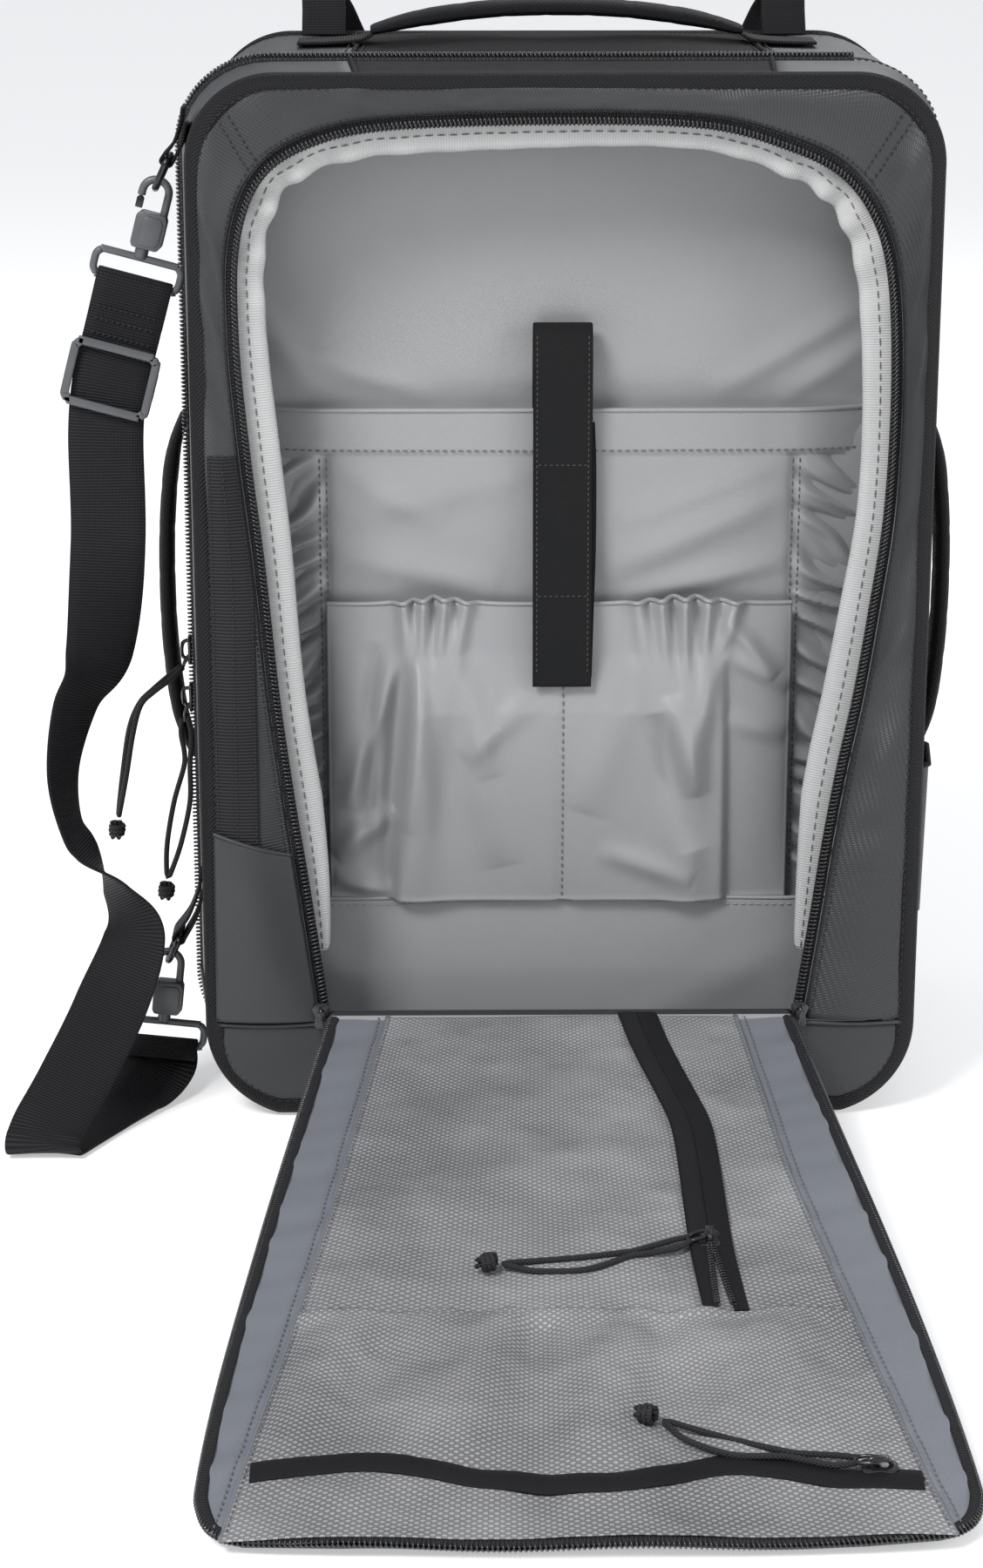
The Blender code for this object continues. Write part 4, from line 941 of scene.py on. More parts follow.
divider = laid("organiser_divider", 110, 150, divider_surface, silk, thick=0.0100, away=(0, 0.05, 0.27))
dress(divider, "front_section", ("divider_panel",))

COLUMN, HEM_FOOT, POCKET_HEAD, BAND = 0.120, 0.3380, 0.2600, 0.1000
SLEEVE_HEAD = edge_of("document_sleeve", 1, 2)


def gathered(x, z):
    """Ruching outside the stitched columns: short folds that fan out and down from the stitching."""
    out = np.clip((np.abs(x) - COLUMN) / 0.050, 0, 1)
    side = np.sign(x)
    wander = 0.004 * np.sin(z * 71 + side) + 0.003 * np.sin(z * 137 + 2 * side)
    phase = (z + out * 0.030 + wander) / 0.0165 * 2 * math.pi
    fold = np.sin(phase) * 0.55 + np.sin(phase * 1.9 + side * 2.0) * 0.3
    ends = np.clip((z - 0.085) / 0.03, 0, 1) * np.clip((HEM_FOOT - z) / 0.012, 0, 1)
    return fold * np.sin(np.clip(out * 1.15, 0, 1) * math.pi) ** 0.6 * 0.0078 * ends, out


def sleeve_surface(u, v):
    z = 0.0068 + (SLEEVE_HEAD - 0.0068) * v
    half = round_half(z, 0.1735, 0.0065, 0.5275, 0.046, 0.040)
    x = (2 * u - 1) * half
    fold, out = gathered(x, z)
    sag = 0.0035 * np.exp(-((z - 0.300) / 0.045) ** 2) * np.cos(np.clip(x / 0.125, -1, 1) * math.pi / 2)
    broad = (crease(x, z, (-0.115, 0.305), (-0.010, 0.330), 0.010, 0.0016) + crease(x, z, (0.020, 0.275),
        (0.118, 0.318), 0.009, 0.0024)
             + crease(x, z, (-0.118, 0.285), (-0.030, 0.268), 0.008, 0.0016) + crease(x, z, (0.030, 0.262),
                 (0.118, 0.282), 0.006, 0.0020)
             + crease(x, z, (0.030, 0.300), (0.118, 0.334), 0.007, 0.0014) + crease(x, z, (-0.118, 0.333),
                 (-0.060, 0.300), 0.008, 0.0012))
    groove = 0.0016 * (np.exp(-((np.abs(x) - COLUMN) / 0.0030) ** 2)) * (z < HEM_FOOT) * (z > BAND)
    deep = np.clip(out, 0, 1) ** 1.5 * 0.016 * np.clip((z - 0.03) / 0.06, 0, 1)
    lip = 0.0012 * (z > HEM_FOOT)
    y = -0.0506 - sag - broad * 1.7 - fold * 0.8 + groove + deep - lip + 0.0005 * ripples(x, z, (3, 8, 10))
    return np.stack([x, y, z], axis=-1)


sleeve = laid("document_sleeve_cloth", 190, 210, sleeve_surface, silk, thick=0.0012, away=(0, 0.05, 0.2))
dress(cloth(sleeve), "front_section", ("document_sleeve",))
u = np.linspace(0.005, 0.995, 260)
hem_line = sleeve_surface(u, 1.0 + 0 * u)
hem_roll = swept("document_sleeve_hem", hem_line + [0, 0.0003, -0.0006], ring_of(0.0013, 8), silk)
dress(hem_roll, "front_section")


def pocket_depth(x, z):
    """Forward stand of the pleated pocket: gathers under its top edge fall into two box pleats."""
    up = np.clip((z - BAND) / (POCKET_HEAD - BAND), 0, 1)
    belly = 0.0075 * np.sin(math.pi * np.clip(up * 0.85 + 0.05, 0,
                                              1)) * np.clip((0.118 - np.abs(x)) / 0.03, 0, 1) ** 0.6
    puff = belly * (0.75 + 0.25 * np.cos(x / 0.06 * math.pi))
    tucks = np.zeros_like(x)
    for place, lean, wide, deep in ((-0.0800, 0.10, 0.0040, 0.0050), (-0.0700, -0.02, 0.0034, 0.0062),
                                    (-0.0590, -0.12, 0.0036, 0.0056), (-0.0480, -0.20, 0.0040, 0.0040),
                                    (0.0400, 0.16, 0.0040, 0.0034), (0.0520, 0.10, 0.0036, 0.0056),
                                    (0.0640, 0.02, 0.0034, 0.0064), (0.0760, -0.06, 0.0036, 0.0052),
                                    (0.0900, -0.28, 0.0040, 0.0034)):
        fall = POCKET_HEAD - z
        spread = wide * (1 + fall * 13)
        tucks = tucks + 1.7 * deep * np.exp(-((x - place - lean * fall) / spread) ** 2) * np.exp(-fall
            / 0.075)
    edge_l = -0.0855 + 0.012 * np.clip(up, 0, 1)
    edge_r = 0.0872 - 0.002 * up
    step = 0.0056 * (1 / (1 + np.exp(-(x - edge_l) / 0.0009)) - 1 / (1 + np.exp(-(x - edge_r) / 0.0009)))
    step = step * np.clip((0.235 - z) / 0.03, 0, 1) * (z > BAND)
    hollow = 0.0075 * np.exp(-((x - edge_l + 0.006) / 0.006) ** 2 - ((z - 0.165) / 0.050) ** 2)
    broad = (crease(x, z, (-0.118, 0.125), (-0.085, 0.150), 0.006, 0.0030) + crease(x, z, (-0.118, 0.112),
        (-0.084, 0.104), 0.005, 0.0026)
             + crease(x, z, (0.085, 0.235), (0.119, 0.215), 0.005, 0.0022) + crease(x, z, (0.086, 0.200),
                 (0.118, 0.190), 0.006, 0.0016)
             + crease(x, z, (-0.05, 0.235), (-0.035, 0.170), 0.007, 0.0022) + crease(x, z, (0.058, 0.215),
                 (0.072, 0.160), 0.007, 0.0030)
             + crease(x, z, (-0.070, 0.23), (-0.080, 0.140), 0.005, 0.0030)
             + crease(x, z, (-0.078, 0.252), (-0.110, 0.150), 0.0050, 0.0030)
             + crease(x, z, (-0.060, 0.252), (-0.030, 0.120), 0.0110, 0.0030)
             + crease(x, z, (-0.050, 0.180), (-0.012, 0.215), 0.0070, 0.0020)
             + crease(x, z, (0.046, 0.252), (0.014, 0.150), 0.0120, 0.0026)
             + crease(x, z, (0.084, 0.254), (0.112, 0.222), 0.0045, 0.0030)
             + crease(x, z, (0.020, 0.130), (0.070, 0.112), 0.0060, 0.0018)
             - crease(x, z, (0.050, 0.205), (0.070, 0.130), 0.0075, 0.0040)
             - crease(x, z, (-0.095, 0.240), (-0.100, 0.115), 0.0050, 0.0036))
    seam = -0.0018 * np.exp(-((x - 0.002) / 0.0040) ** 2) * np.clip((0.225 - z) / 0.02, 0, 1) * (z > BAND)
    above = (z > BAND)
    return above * (puff + tucks + step - hollow + broad * 1.6) + seam


def pocket_surface(u, v):
    z = 0.0070 + (POCKET_HEAD - 0.0070) * v
    x = (2 * u - 1) * 0.1195
    scallop = 0.0042 * (np.exp(-((x + 0.064) / 0.018) ** 2)
                        + np.exp(-((x - 0.064) / 0.022) ** 2)) * (v > 0.999)
    band = 0.0006 * np.exp(-((z - BAND - 0.001) / 0.0016) ** 2)
    base = 0.0012 * np.sin(math.pi * np.clip(z / BAND, 0, 1)) * (z < BAND)
    y = -0.0572 - pocket_depth(x, z) - band - base + 0.0004 * ripples(x, z, (1, 6, 9))
    return np.stack([x, y, z + scallop], axis=-1)


pocket = laid("organiser_pocket_cloth", 230, 210, pocket_surface, silk, thick=0.0010, away=(0, 0.05, 0.15))
dress(cloth(pocket), "front_section", ("organiser_pocket",))
u = np.linspace(0.0, 1.0, 300)
gather = pocket_surface(u, 1.0 + 0 * u)
roll = swept("organiser_pocket_hem", gather + [0, 0.0002, 0.0002], ring_of(0.0012, 8), silk)
dress(roll, "front_section")


def band_surface(u, v):
    """The plain lower band laps over the foot of the pocket from side to side."""
    z = 0.0100 + (BAND + 0.0015 - 0.0100) * v
    half = round_half(z, 0.1725, 0.0065, 0.5275, 0.046, 0.040)
    x = (2 * u - 1) * np.minimum(half, 0.168)
    side = np.clip((np.abs(x) - 0.118) / 0.05, 0, 1)
    y = -0.0594 + 0.010 * side ** 1.4 - 0.0012 * np.sin(math.pi * v) - 0.0012 * crease(x, z, (0.02, 0.02),
        (0.14, 0.085), 0.012, 1.0)
    y = y - crease(x, z, (-0.15, 0.09), (-0.09, 0.045), 0.010, 0.0012) + 0.0005 * ripples(x, z, (5, 7))
    return np.stack([x, y, z + 0.0012 * np.cos(x * 26) - 0.0012 * (1 - v)], axis=-1)


band = laid("organiser_band", 130, 40, band_surface, silk, thick=0.0010, away=(0, 0.05, 0.05))
dress(cloth(band), "front_section")
u = np.linspace(0.005, 0.995, 200)
roll = swept("organiser_band_hem", band_surface(u, 1.0 + 0 * u) + [0, 0.0004, 0], ring_of(0.0011, 8), silk)
dress(roll, "front_section")

rows = []
z = np.linspace(0.106, 0.335, 240)
share = (z - 0.0068) / (SLEEVE_HEAD - 0.0068)
for place in (-0.1222, -0.1186, 0.1186, 0.1222):
    half = round_half(z, 0.1735, 0.0065, 0.5275, 0.046, 0.040)
    rows.append(sleeve_surface((place / half + 1) / 2, share) + [0, -0.0004, 0])
u = np.linspace(0.03, 0.97, 260)
rows.append(sleeve_surface(u, (HEM_FOOT + 0.0008 - 0.0068) / (SLEEVE_HEAD - 0.0068) + 0 * u) + [0, -0.0004,
    0])
v = np.linspace(0.378, 0.84, 200)
rows.append(pocket_surface((0.002 / 0.1195 + 1) / 2 + 0 * v, v) + [0, -0.0004, 0])
dress(stitched("organiser_stitching", rows, thread_grey, pitch=0.0040, wide=0.00045), "front_section")
rows = [band_surface(np.linspace(0.12, 0.88, 200), 0.965 + np.zeros(200)) + [0, -0.0004, 0]]
dress(stitched("organiser_band_stitching", rows, thread_light, pitch=0.0040), "front_section")

# Floor and ceiling of the organiser between its panel and the divider are the wall lining already.
# The closure tab is 30 mm webbing, folded over and edge-stitched, with a box of stitches at its foot.
webbing = Finish("black_webbing", (0.004, 0.004, 0.005), 0.66, specular_ior_level=0.25)
along, across = webbing.cloth_axes()
rib = webbing.wave(along, 0.0015)
fine = webbing.wave(across, 0.0011)
webbing.feed("Base Color", webbing.shade(rib * 0.6 + fine * 0.15 + webbing.clouds(20.0) * 0.3,
                                         (0.002, 0.002, 0.0025), (0.014, 0.014, 0.016)))
webbing.feed("Roughness", 0.80 - rib * 0.22)
webbing.bump(rib + fine * 0.25, 0.00035)
elastic = twill("elastic_webbing", (0.003, 0.003, 0.0035), (0.012, 0.012, 0.013), 0.70, 0.0011, 0.0003,
                specular_ior_level=0.25)


def ribbon(wide, thick):
    """The cut end of a webbing: a thin rectangle with eased edges."""
    half, deep = wide / 2, thick / 2
    top = [(x, deep) for x in np.linspace(-half + deep, half - deep, 7)]
    return top + [(half - deep * 0.2, deep * 0.5), (half - deep * 0.2, -deep * 0.5)] + [(x, -deep) for x,
        y in top[::-1]] \
        + [(-half + deep * 0.2, -deep * 0.5), (-half + deep * 0.2, deep * 0.5)]


tab_path = [(0.001, -0.0452, 0.3590), (0.001, -0.0462, 0.3800), (0.001, -0.0480, 0.3960),
            (0.001, -0.0506, 0.4024),
            (0.001, -0.0545, 0.4030), (0.001, -0.0588, 0.3985), (0.001, -0.0612, 0.3880),
            (0.001, -0.0628, 0.3600),
            (0.001, -0.0640, 0.3200), (0.001, -0.0668, 0.2800), (0.001, -0.0700, 0.2480),
            (0.001, -0.0706, 0.2195)]
tab_line = through(tab_path, 130)
tab_side = np.tile([1.0, 0, 0], (130, 1))
tab = swept("closure_tab_strap", tab_line, ribbon(0.0304, 0.0021), elastic, sides=tab_side)
dress(tab, "closure_tab", ("closure_tab",))
under_line = through([(0.0022, -0.0580, 0.3540), (0.0030, -0.0612, 0.3300), (0.0030, -0.0630, 0.2900),
                      (0.0020, -0.0668, 0.2560), (0.0012, -0.0680, 0.2240)], 50)
under = swept("closure_tab_back", under_line, ribbon(0.0306, 0.0016), elastic,
              sides=np.tile([1.0, 0, 0], (50, 1)))
dress(under, "closure_tab")
rows = []
ahead = np.gradient(tab_line, axis=0)
face = np.cross(ahead, tab_side)
face /= np.linalg.norm(face, axis=1)[:, None]
skin = tab_line + face * (0.0012 if face[100][1] < 0 else -0.0012)
for x in (-0.0130, 0.0130):
    rows.append(skin[30:126] + [x, 0, 0])
for index in (66, 103):
    rows.append(np.array([skin[index] + [x, 0, 0] for x in np.linspace(-0.013, 0.013, 12)]))
thread_dark = Finish("dark_thread", (0.040, 0.040, 0.042), 0.6)
thread_dark.feed("Roughness", thread_dark.clouds(900.0) * 0.3 + 0.45)
dress(stitched("closure_tab_stitching", rows, thread_dark, pitch=0.0028), "closure_tab")

# ---------------------------------------------------------------- flap
# The front of the compartment, zipped round three sides and folded down flat on the floor: coated
# twill outside, bluish lining inside, black zip tape and the coil's other half round the edge.

FLAP_LEFT = ((0.0, -0.1183), (0.10, -0.1296), (0.215, -0.1430), (0.33, -0.1548), (0.405, -0.1600))
FLAP_RIGHT = ((0.0, 0.1185), (0.10, 0.1290), (0.215, 0.1420), (0.33, 0.1530), (0.405, 0.1582))
outline = [(x, v) for v, x in FLAP_LEFT]
outline += [(-0.1590, 0.4280), (-0.1515, 0.4445), (-0.1340, 0.4515), (-0.0800, 0.4540), (0.0, 0.4555),
            (0.0800, 0.4545),
            (0.1330, 0.4515), (0.1500, 0.4440), (0.1575, 0.4280)]
outline += [(x, v) for v, x in FLAP_RIGHT[::-1]]
rim = through(outline, 1400)
rim_out = np.gradient(rim, axis=0)
rim_out = np.stack([-rim_out[:, 1], rim_out[:, 0]], axis=1)
rim_out /= np.linalg.norm(rim_out, axis=1)[:, None]
rim_shares = np.linspace(0.0, 1.0, len(rim))


def on_rim(share, out, rise):
    """A place near the flap's edge; its far side lifts off the floor in slow waves."""
    x = np.interp(share, rim_shares, rim[:, 0])
    v = np.interp(share, rim_shares, rim[:, 1])
    x = x + out * np.interp(share, rim_shares, rim_out[:, 0])
    v = v + out * np.interp(share, rim_shares, rim_out[:, 1])
    return on_flap(x, v, rise + flap_wave(x, v))


def flap_wave(x, v):
    """The soft flap is not flat: slow waves along its far edge and down its sides."""
    edge = np.clip((v - 0.30) / 0.15, 0, 1) ** 2
    sides = np.clip((np.abs(x) - 0.09) / 0.06, 0, 1) ** 2 * np.clip(v / 0.08, 0, 1)
    return 0.0011 + edge * (0.0009 + 0.0009 * np.sin(x * 55 + 0.6)) + sides * 0.0005 * np.sin(v * 24
        + np.sign(x))


def flap_half(v, side):
    v = np.asarray(v, float)
    first = rim_shares < 0.5 if side < 0 else rim_shares >= 0.5
    line = rim[first]
    order = np.argsort(line[:, 1])
    return np.interp(v, line[order, 1], line[order, 0])


def shell_surface(u, v):
    out = 0.0004 + 0.4530 * v
    left, right = flap_half(out, -1) + 0.0016, flap_half(out, 1) - 0.0016
    x = left + (right - left) * u
    return on_flap(x, out, 0.0002 + flap_wave(x, out))


shell = laid("flap_outer_cloth", 110, 150, shell_surface, coated, thick=0.0015, away=(0, -0.3, 1.0),
             offset=1.0)
bpy.context.view_layer.update()
dress(shell, "flap", ("flap_shell",))
cloth(shell)

lining_blue = twill("flap_lining", (0.150, 0.158, 0.182), (0.225, 0.238, 0.268), 0.36, 0.0009, 0.00008,
                    crumple=120.0)


def flap_lining_surface(u, v):
    out = 0.0010 + 0.4515 * v
    left, right = flap_half(out, -1) + 0.0030, flap_half(out, 1) - 0.0030
    x = left + (right - left) * u
    side = np.clip((np.abs(x) - 0.080) / 0.03, 0, 1)
    soft = side * (0.0007 + 0.0005 * np.sin(out * 120 + 2 * np.sin(out * 31) + 60 * x) + 0.0002
                   * np.sin(out * 290 + x * 90))
    return on_flap(x, out, 0.0008 + soft + flap_wave(x, out))


inner = laid("flap_lining_cloth", 130, 220, flap_lining_surface, lining_blue, thick=0.0006,
             away=(0, -0.3, -1.0))
dress(cloth(inner), "flap")

share = np.linspace(0.0, 1.0, 1500)
coil_line = on_rim(share, -0.0010 + 0 * share, 0.0010)
coil_out = on_rim(share, 0.01 + 0 * share, 0.0010) - coil_line
dress(coil_of("flap_zip_teeth", coil_line, coil_out), "flap", ("flap_zip_coil",))


def flap_tape_surface(u, v):
    puff = 0.0008 * np.sin(math.pi * v)
    return on_rim(u, -0.0002 - 0.0052 * v, 0.0018 + puff)


dress(laid("flap_zip_tape", 420, 6, flap_tape_surface, grosgrain, thick=0.0008, away=(0, -0.3, -1.0)),
      "flap")


# The mesh pockets: one smooth panel above, one gathered and baggy below it.
mesh = Finish("diamond_mesh", (0.30, 0.30, 0.305), 0.5)
along, across = mesh.cloth_axes()
lattice = mesh.wave(along + across * 1.35, 0.0043) * mesh.wave(along - across * 1.35, 0.0043)
cell = mesh.node("ShaderNodeMapRange", {"interpolation_type": "SMOOTHSTEP"},
                 {0: lattice, 1: 0.14, 2: 0.34, 3: 0.0, 4: 1.0})
# The net's colour takes large cloudy light and dark patches from these two noises: painted shade and sheen
# of its folds. Only the diamond cells are the mesh's own pattern. Both noises also feed the bump.
cloud = mesh.clouds(9.0)
fold_shade_and_relief = mesh.clouds(26.0, 3.0, 0.5)
mesh.feed("Base Color", mesh.shade(cell * 0.60 + cloud * 0.95 + fold_shade_and_relief * 0.25 - 0.45,
                                   (0.125, 0.125, 0.130), (0.440, 0.440, 0.442)))
mesh.feed("Roughness", 0.58 - cell * 0.2)
mesh.bump(cell + fold_shade_and_relief * 10.0 + cloud * 40.0, 0.0005)

MESH_LEFT = ((0.008, -0.0890), (0.203, -0.1120), (0.313, -0.1270), (0.409, -0.1420), (0.452, -0.1480))
MESH_RIGHT = ((0.008, 0.0900), (0.165, 0.1030), (0.280, 0.1180), (0.412, 0.1370), (0.452, 0.1440))
MESH_SEAM = 0.292


def mesh_edges(v):
    return (np.interp(v, *zip(*MESH_LEFT)), np.interp(v, *zip(*MESH_RIGHT)))


def upper_mesh_rise(x, v):
    left, right = mesh_edges(v)
    inside = np.clip(np.minimum(x - left, right - x) / 0.010, 0, 1)
    slack = np.clip((v - 0.12) / 0.16, 0, 1)
    folds = (0.0030 * np.sin(x * 60 + v * 26 + 1.0) * slack + 0.0009 * np.sin(x * 118 - v * 60) * slack
             + 0.0007 * np.sin(v * 90 + x * 40))
    rise = 0.0030 + 0.0012 * inside + inside * (folds + 0.0006 * ripples(x, v, (2, 6, 9)) - 0.0004)
    return 0.0024 + 0.0042 * (1 - np.exp(-np.maximum(rise - 0.0024, 0) / 0.0042))


def upper_mesh_surface(u, v):
    out = 0.0085 + (MESH_SEAM + 0.0008 - 0.0085) * v
    left, right = mesh_edges(out)
    x = left + (right - left) * u
    return on_flap(x, out, upper_mesh_rise(x, out) + flap_wave(x, out))


upper = laid("mesh_pocket_upper_net", 170, 200, upper_mesh_surface, mesh, thick=0.0006,
             away=(0, -0.3, -1.0))
dress(cloth(upper), "flap", ("mesh_pocket_upper",))

ZIP_WAVE = ((-0.1400, 0.4076), (-0.1100, 0.4045), (-0.0810, 0.4027), (-0.0420, 0.4134), (0.0080, 0.4182),
            (0.0620, 0.4053), (0.1000, 0.4148), (0.1350, 0.4152))


def zip_place(x):
    line = through(ZIP_WAVE, 300)
    return np.interp(x, line[:, 0], line[:, 1])


def lower_mesh_rise(x, v):
    left, right = mesh_edges(v)
    inside = np.clip(np.minimum(x - left, right - x) / 0.022, 0,
                     1) * (1 - 0.75 * np.clip((v - 0.420) / 0.018, 0, 1))
    share = np.clip((v - MESH_SEAM) / (0.405 - MESH_SEAM), 0, 1)
    bag = 0.0052 * np.sin(math.pi * np.clip(share * 0.93 + 0.06, 0, 1)) ** 0.7
    phase = x * 92 + 10.0 * (v - MESH_SEAM) + 0.7 * np.sin(x * 31)
    folds = 0.0056 * np.sin(phase) * np.sin(math.pi * np.clip(share, 0, 1)) ** 0.8
    folds = folds + 0.0017 * np.sin(phase * 2.1 + v * 30) * np.exp(-share * 1.6) + 0.0012 * np.sin(v * 118
        + x * 33) * (share > 0) * (1 - share)
    past = np.clip((v - 0.415) / 0.035, 0, 1)
    folds = folds + 0.0016 * np.sin(x * 120 + 1.0) * np.sin(math.pi * past)
    rise = 0.0030 + inside * (bag + folds * 1.2 + 0.0008 * ripples(x, v, (1, 7, 11)) + 0.0012)
    return 0.0026 + 0.0100 * (1 - np.exp(-np.maximum(rise - 0.0026, 0) / 0.0100))


def lower_mesh_surface(u, v):
    out = MESH_SEAM - 0.0042 + (0.4515 - MESH_SEAM + 0.0042) * v
    left, right = mesh_edges(out)
    x = left + (right - left) * u
    rise, near = lower_mesh_rise(x, out), np.clip((MESH_SEAM + 0.008 - out) / 0.008, 0, 1)
    rise = rise + near * np.maximum(upper_mesh_rise(x, out) + 0.0010 - rise, 0)
    return on_flap(x, out, rise + flap_wave(x, out))


lower = laid("mesh_pocket_lower_net", 210, 130, lower_mesh_surface, mesh, thick=0.0006,
             away=(0, -0.3, -1.0))
dress(cloth(lower), "flap", ("mesh_pocket_lower",))

zip_black = Finish("mesh_zip_tape", (0.004, 0.004, 0.005), 0.58, specular_ior_level=0.25)
along, across = zip_black.cloth_axes()
rib = zip_black.wave(along + across * 0.6, 0.0013)
zip_black.feed("Base Color", zip_black.shade(rib * 0.5 + zip_black.clouds(40.0) * 0.5,
                                             (0.002, 0.002, 0.003), (0.012, 0.012, 0.014)))
zip_black.feed("Roughness", 0.70 - rib * 0.2)
zip_black.bump(rib, 0.0003)

# Vertical zip: a curved 20 mm band; above its slider it is closed, below it the halves part.
ZIP_MIDDLE = ((0.0085, 0.0390), (0.060, 0.0470), (0.122, 0.0590), (0.204, 0.0610), (0.2380, 0.0617),
              (0.294, 0.0648))
middle_zip = through([(x, v) for v, x in ZIP_MIDDLE], 400)
SLIDER_V = 0.2277


def vertical_middle(v):
    return np.interp(v, middle_zip[:, 1], middle_zip[:, 0])


def zip_top(x, v):
    return upper_mesh_rise(x, v) + flap_wave(x, v)


def zip_half(side):
    def surface(u, v):
        out = 0.0088 + (0.2890 - 0.0088) * u
        gap = 0.0001 + 0.0034 * np.clip((out - SLIDER_V) / 0.055, 0, 1) ** 0.8
        x = vertical_middle(out) + side * (gap + (0.0100 - gap) * v)
        crown = 0.0006 + 0.0006 * np.sin(math.pi * v) + 0.0005 * (v < 0.05)
        smooth = 0.65 * zip_top(vertical_middle(out), out) + 0.35 * zip_top(x, out)
        return on_flap(x, out, smooth + crown + 0.0012)
    return surface


for side, label in ((-1, "left"), (1, "right")):
    tape = laid("mesh_zip_vertical_tape_" + label, 150, 6, zip_half(side), zip_black, thick=0.0008,
                away=(0, -0.3, -1.0))
    dress(tape, "flap", ("mesh_zip_vertical",) if side < 0 else ())
    share = np.linspace(0.80, 0.985, 160)
    line = zip_half(side)(share, 0 * share) + on_flap(0, 0, 0.0003) - on_flap(0, 0, 0)
    toward = np.tile([1.0, 0.0, 0.0], (160, 1))
    dress(coil_of("mesh_zip_vertical_teeth_" + label, line, toward, half=0.0013, tall=0.0009,
                  wire=0.00040), "flap")


def zip_across(u, v):
    x = -0.1385 + 0.2735 * u
    out = zip_place(x) + (v - 0.5) * 0.0135
    crown = 0.0016 * np.sin(math.pi * v) + 0.0006
    rise = 0.7 * lower_mesh_rise(x, zip_place(x)) + 0.3 * lower_mesh_rise(x, out) + flap_wave(x, out)
    return on_flap(x, out, rise + crown)


tape = laid("mesh_zip_horizontal_tape", 190, 10, zip_across, zip_black, thick=0.0010, away=(0, -0.3, -1.0))
dress(tape, "flap", ("mesh_zip_horizontal",))

rows = []
v = np.linspace(0.006, 0.447, 420)
for edge in (0, 1):
    x = mesh_edges(v)[edge] + (-0.0045 if edge == 0 else 0.0045)
    rows.append(on_flap(x, v, 0.0024 + flap_wave(x, v)))
    x = mesh_edges(v)[edge] + (0.0012 if edge == 0 else -0.0012)
    top = np.where(v < MESH_SEAM, upper_mesh_rise(x, v), lower_mesh_rise(x, v))
    rows.append(on_flap(x, v, top + 0.0004 + flap_wave(x, v)))
dress(stitched("flap_stitching", rows[0::2], thread_grey, pitch=0.0040, share=0.66, wide=0.00045), "flap")
dress(stitched("mesh_stitching", rows[1::2], thread_grey, pitch=0.0040), "flap")


def bound(name, line, wide, thick, finish, rise):
    """A flat narrow tape along a line on the flap."""
    across = np.gradient(line, axis=0)
    up = np.tile(on_flap(0, 0, 1.0) - on_flap(0, 0, 0), (len(line), 1))
    return swept(name, line + up * rise, ribbon(wide, thick), finish, sides=np.cross(across, up))


for edge, label in ((0, "left"), (1, "right")):
    v = np.linspace(0.006, 0.450, 200)
    x = mesh_edges(v)[edge]
    top = np.where(v < MESH_SEAM, upper_mesh_rise(x, v), lower_mesh_rise(x, v)) * 0.55
    edge_line = on_flap(x, v, top + flap_wave(x, v))
    dress(bound("mesh_edge_" + label, edge_line, 0.0030, 0.0022, lining_blue, 0.0002), "flap")

# The fold: the flap's cloth carries on up to the boot of the front section and bends in between.


def fold_surface(u, v, under=0.0):
    x = -0.1180 + 0.2365 * u
    y = (FRONT + 0.0016) * (1 - v) + (HINGE[1] - 0.0100) * v
    z = 0.0570 * (1 - v) + (HINGE[2] - 0.0008) * v + 0.0016 * np.sin(v * math.pi)
    return np.stack([x, y - 0.0008 * np.sin(v * math.pi) - under * (1 - v), z + under * (0.3 - 1.3 * v)],
                    axis=-1)


# The outer cloth is the flap's real outside. Where it meets the boot it stands 1.7 mm in front of the
# lining, so a thin dark edge of it shows along the sill as a painted shadow of the fold.
def fold_outside(u, v):
    return fold_surface(u, v, 0.0017)


for name, surface, finish, slot in (("flap_fold_cloth", fold_surface, lining, "grey_lining"),
                                    ("flap_fold_outer", fold_outside, coated, "coated_twill")):
    hinge_cloth = laid(name, 120, 14, surface, finish, thick=0.0008, away=(0, 0.2, -0.3))
    cloth(hinge_cloth)
    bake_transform(hinge_cloth)

# ---------------------------------------------------------------- sling: tabs, rings, hooks, gates
# Two D-rings of dark wire in folded webbing tabs on the left side. Moulded grey snap hooks clip to
# them: a bight, a faceted body with a sprung gate, and a swivelling loop for the webbing.

RING_LEAN, SLING_Y = math.radians(25.0), -0.070
metal = Finish("dark_metal", (0.045, 0.045, 0.048), 0.28, metallic=0.9)
metal.feed("Roughness", metal.clouds(300.0) * 0.12 + 0.22)
moulded = Finish("grey_moulding", (0.075, 0.077, 0.083), 0.34, coat_weight=0.2, coat_roughness=0.35)
moulded.feed("Roughness", moulded.clouds(160.0, 4.0) * 0.18 + 0.32)
moulded.feed("Base Color", moulded.shade(moulded.clouds(35.0), (0.058, 0.060, 0.066),
                                         (0.110, 0.113, 0.122)))
glossy = Finish("black_moulding", (0.012, 0.012, 0.013), 0.22, coat_weight=0.4, coat_roughness=0.15)
glossy.feed("Roughness", glossy.clouds(220.0) * 0.12 + 0.18)


